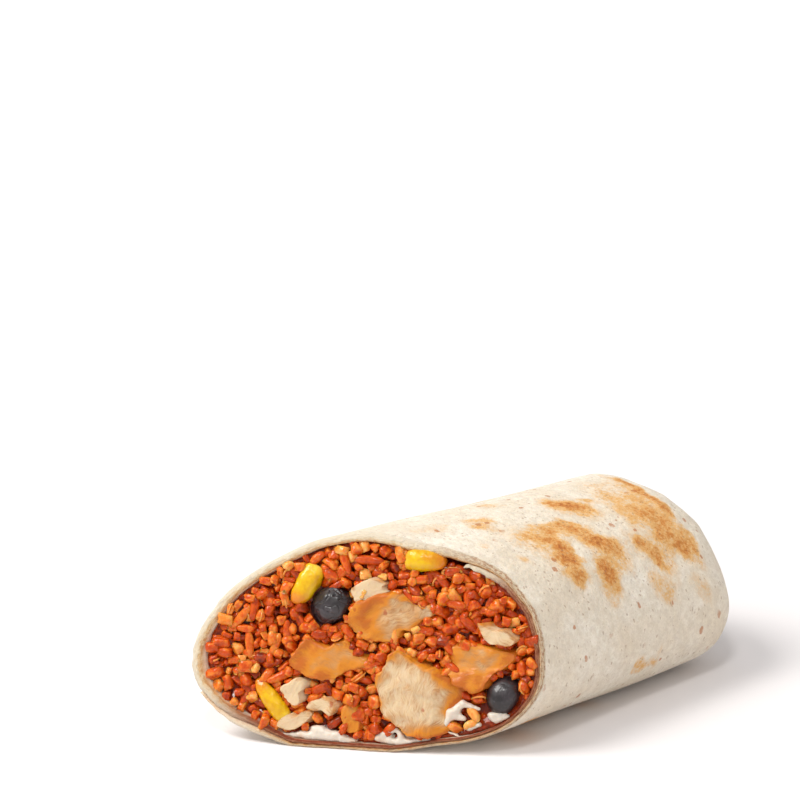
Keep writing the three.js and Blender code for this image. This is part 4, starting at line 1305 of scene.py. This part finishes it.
def grain_tint(rng, out):
    """How light and yellow a grain is: mostly orange-red, some pale, and painted darker when deep, as shade.
    """
    pick = rng.random()
    low, high = next((low, high) for up_to, low, high in TINTS if pick < up_to)
    return float(np.clip(rng.uniform(low, high) + SHADE_BY_DEPTH * (out + 1.5), 0, 1))


def pattern_mesh(name, make):
    """A small mesh that is copied many times."""
    bm = bmesh.new()
    make(bm)
    mesh = bpy.data.meshes.new(name)
    bm.to_mesh(mesh)
    bm.free()
    return mesh


def germ_thread(bm):
    """A thin thread bent round most of a circle, as the germ of a quinoa grain is."""
    seat = Matrix.Translation((1.0, 0, 0)) @ Matrix.Rotation(math.pi / 2, 4, "X")
    bmesh.ops.create_circle(bm, segments=5, radius=0.2, matrix=seat)
    bmesh.ops.spin(bm, geom=[*bm.verts, *bm.edges], angle=4.6, steps=10, axis=(0, 0, 1), cent=(0, 0, 0))


def block(bm):
    """A cube with its faces divided, to be rounded into a blocky grain."""
    bmesh.ops.create_cube(bm, size=2)
    bmesh.ops.subdivide_edges(bm, edges=bm.edges, cuts=2, use_grid_fill=True)


def rod(bm):
    bmesh.ops.create_uvsphere(bm, u_segments=10, v_segments=9, radius=1)


block_pattern = pattern_mesh("block", block)
rod_pattern = pattern_mesh("rod", rod)
germ_pattern = pattern_mesh("germ", germ_thread)


def add_grain(bm, pattern, marks, tint, pale, shape):
    """Copies a pattern into a bmesh, shaped and seated by a function, with its tint and paleness noted.

    Corners are lighter than the middles of faces, because light comes through a wet grain there."""
    first = len(bm.verts)
    bm.from_mesh(pattern)
    bm.verts.ensure_lookup_table()
    for vertex in bm.verts[first:]:
        marks.append((tint + CORNER_LIGHT * (vertex.co.length - 1), pale))
        vertex.co = shape(vertex.co)


def mark_grains(bm, marks):
    tint, pale = zip(*marks)
    mark_points(bm, tint=tint, pale=pale)
    bmesh.ops.recalc_face_normals(bm, faces=bm.faces)


def random_turn(rng):
    return Matrix.Rotation(rng.uniform(0, TURN), 4, Vector(rng.normal(size=3)).normalized())


def quinoa_form():
    rng = np.random.default_rng(GRAIN_SEED)
    bm = bmesh.new()
    marks = []
    spots = dart_places(rng, [(*rice[:2], RICE_KEEPS_OFF) for rice in SHOWN_RICE], **QUINOA)
    for spot in spots:
        roundness = rng.uniform(*GRAIN_ROUNDNESS)
        size = rng.uniform(*GRAIN_HALVES) * rng.uniform(*GRAIN_SCALES)
        here = Vector(rng.uniform(-50, 50, 3))
        seat = CUT_IN_ROLL @ Matrix.Translation(spot) @ random_turn(rng) @ Matrix.Diagonal((*size, 1))

        def dent(co):
            rounded = (co * BLOCK_SHARE).lerp(co.normalized(), roundness)
            return seat @ (rounded * (1 + GRAIN_DENT * noise.noise(co * 0.8 + here)))

        add_grain(bm, block_pattern, marks, grain_tint(rng, spot[2]), 0, dent)
        if rng.random() < GERM_SHARE and spot[2] > GERM_DEEPEST:
            add_grain(bm, germ_pattern, marks, GERM_TINT, 1, lambda co: seat @ (co * 0.94))
    mark_grains(bm, marks)
    print("quinoa grains", len(spots))
    return bm


def rice_form():
    rng = np.random.default_rng(GRAIN_SEED + 1)
    bm = bmesh.new()
    marks = []
    grains = [(Vector((across, up, RICE_OUT)), *rest) for across, up, *rest in SHOWN_RICE]
    for spot in dart_places(rng, [tuple(grain[0]) for grain in grains], **MORE_RICE):
        spot[2] = rng.uniform(-2.0, -0.7)
        grains.append((Vector(spot), rng.uniform(4.6, 7), rng.uniform(0, 180), grain_tint(rng, spot[2])))
    for spot, length, angle, tint in grains:
        bend = rng.uniform(-0.3, 0.3)
        thick = rng.uniform(0.95, 1.16)
        here = Vector(rng.uniform(-50, 50, 3))
        turn = Matrix.Rotation(math.radians(angle), 4, "Z")
        dip = Matrix.Rotation(rng.uniform(-0.22, 0.22), 4, "Y")
        seat = CUT_IN_ROLL @ Matrix.Translation(spot) @ (turn @ dip)

        def swollen(co):
            along = math.copysign(abs(co.z) ** 0.8, co.z)
            swell = thick * (1 + 0.16 * noise.noise(Vector((along * 1.3, 0, 0)) + here))
            return seat @ Vector((along * length / 2, co.x * swell + bend * (along * along - 0.3),
                                  co.y * swell * 0.9))

        add_grain(bm, rod_pattern, marks, tint, 0, swollen)
    mark_grains(bm, marks)
    print("rice grains", len(grains))
    return bm


# %% Grain material


def grain_material():
    look = Look("red rice and quinoa", (1.0, 0.35, 0.1), Roughness=0.45, Subsurface_Weight=0.8,
                Specular_IOR_Level=0.1, Subsurface_Scale=0.0006, Coat_Weight=0.45, Coat_Roughness=0.07)
    cloud = look.stretched(look.mottled(560.0, 0.3, 0.7, 0.65), 0.3, -0.16)
    look.paint = look.ramp(look.plus(look.mark("tint"), cloud), (0.0, 104, 28, 4), (0.26, 172, 60, 8),
                           (0.48, 206, 84, 14), (0.7, 224, 130, 42), (0.95, 234, 172, 92))
    look.lay(look.mark("pale"), (232, 150, 72))
    look.lay(look.mottled(150.0, 0.55, 0.75, 0.6), (170, 52, 10), 0.3)
    look.lay(look.flecked(330.0, 0.3, 0.1), (120, 44, 10), 0.4)
    return look.finish(look.rippled(900.0, 2600.0), 0.35, 0.5)


cooked_grain = grain_material()
make_piece("filling_body", core_form(), cooked_grain, ("rice_and_quinoa",))
make_piece("quinoa_grains", quinoa_form(), cooked_grain)
make_piece("rice_grains", rice_form(), cooked_grain)

# %% [markdown]
# ## Floor, light and camera
# The real one was shot on plain white, in a bright even room, with soft light from the upper left and a weak
# shadow to the right. So the stage is a near-white floor that glows as painted light, more and more away
# from the wrap until it is pure white, a soft window light, a small lamp for the glints on what is wet, and
# an even white world. The camera stands where the photograph's did: a little above the roll, looking at the
# cut almost square on.

# %% Stage
FLOOR_SIZE = 6
FLOOR_COLOUR = (0.86, 0.835, 0.84, 1.0)
FLOOR_GLOW = 0.6
GLOW_FROM = 0.1
GLOW_FULL = 0.5
WORLD_COLOUR = (1, 0.99, 0.99, 1)
WORLD_STRENGTH = 0.59
LIGHTS_AIM = Vector((-0.02, 0, 0.02))

floor_form = bmesh.new()
bmesh.ops.create_grid(floor_form, x_segments=1, y_segments=1, size=FLOOR_SIZE)
floor_mesh = bpy.data.meshes.new("floor")
floor_form.to_mesh(floor_mesh)
floor_form.free()
floor = bpy.data.objects.new("floor", floor_mesh)
scene.collection.objects.link(floor)
white = Look("white surface", Roughness=0.9, Specular_IOR_Level=0.1, Base_Color=FLOOR_COLOUR,
             Emission_Strength=1.0)
# The floor glows, as painted light: not at all near the wrap, so that its shadow stays, and more and more
# further out, so that it turns pure white.
from_middle = white.add("VectorMath", {0: white.place()}, operation="LENGTH").outputs["Value"]
glow = white.between(from_middle, GLOW_FROM, GLOW_FULL, 0.0, FLOOR_GLOW)
white.tree.links.new(white.add("CombineColor", {0: glow, 1: glow, 2: glow}).outputs[0],
                     white.shader.inputs["Emission Color"])
floor_mesh.materials.append(white.material)


def add_light(name, place, size, power, tint):
    """A square soft light at a place in metres, turned to face the wrap."""
    lamp = bpy.data.lights.new(name, "AREA")
    lamp.shape = "SQUARE"
    lamp.size = size
    lamp.energy = power
    lamp.color = tint
    light = bpy.data.objects.new(name, lamp)
    light.location = place
    light.rotation_euler = (LIGHTS_AIM - Vector(place)).to_track_quat("-Z", "Y").to_euler()
    scene.collection.objects.link(light)


add_light("window_light", (-0.5, 0.35, 0.8), 0.45, 8, (1.0, 0.98, 0.945))
add_light("small_lamp", (-0.45, -0.3, 0.85), 0.15, 2.2, (1.0, 0.98, 0.96))

world = bpy.data.worlds.new("white room")
world.use_nodes = True
world.node_tree.nodes["Background"].inputs["Color"].default_value = WORLD_COLOUR
world.node_tree.nodes["Background"].inputs["Strength"].default_value = WORLD_STRENGTH
scene.world = world
scene.view_settings.view_transform = "Standard"

# %% Camera
CAMERA_PLACE = (-0.40763, -0.37884, 0.21805)
CAMERA_TURN = (math.radians(90 - 14.63), 0, math.radians(-45.08))
CAMERA_LENS = 112.5
camera = bpy.data.objects.new("camera", bpy.data.cameras.new("camera"))
camera.data.lens = CAMERA_LENS
camera.data.sensor_width = 36
camera.data.clip_start = 0.01
camera.location = CAMERA_PLACE
camera.rotation_euler = CAMERA_TURN
scene.collection.objects.link(camera)
scene.camera = camera
print("camera", CAMERA_PLACE)

# %% The end: bring the scene up to date
bpy.context.view_layer.update()
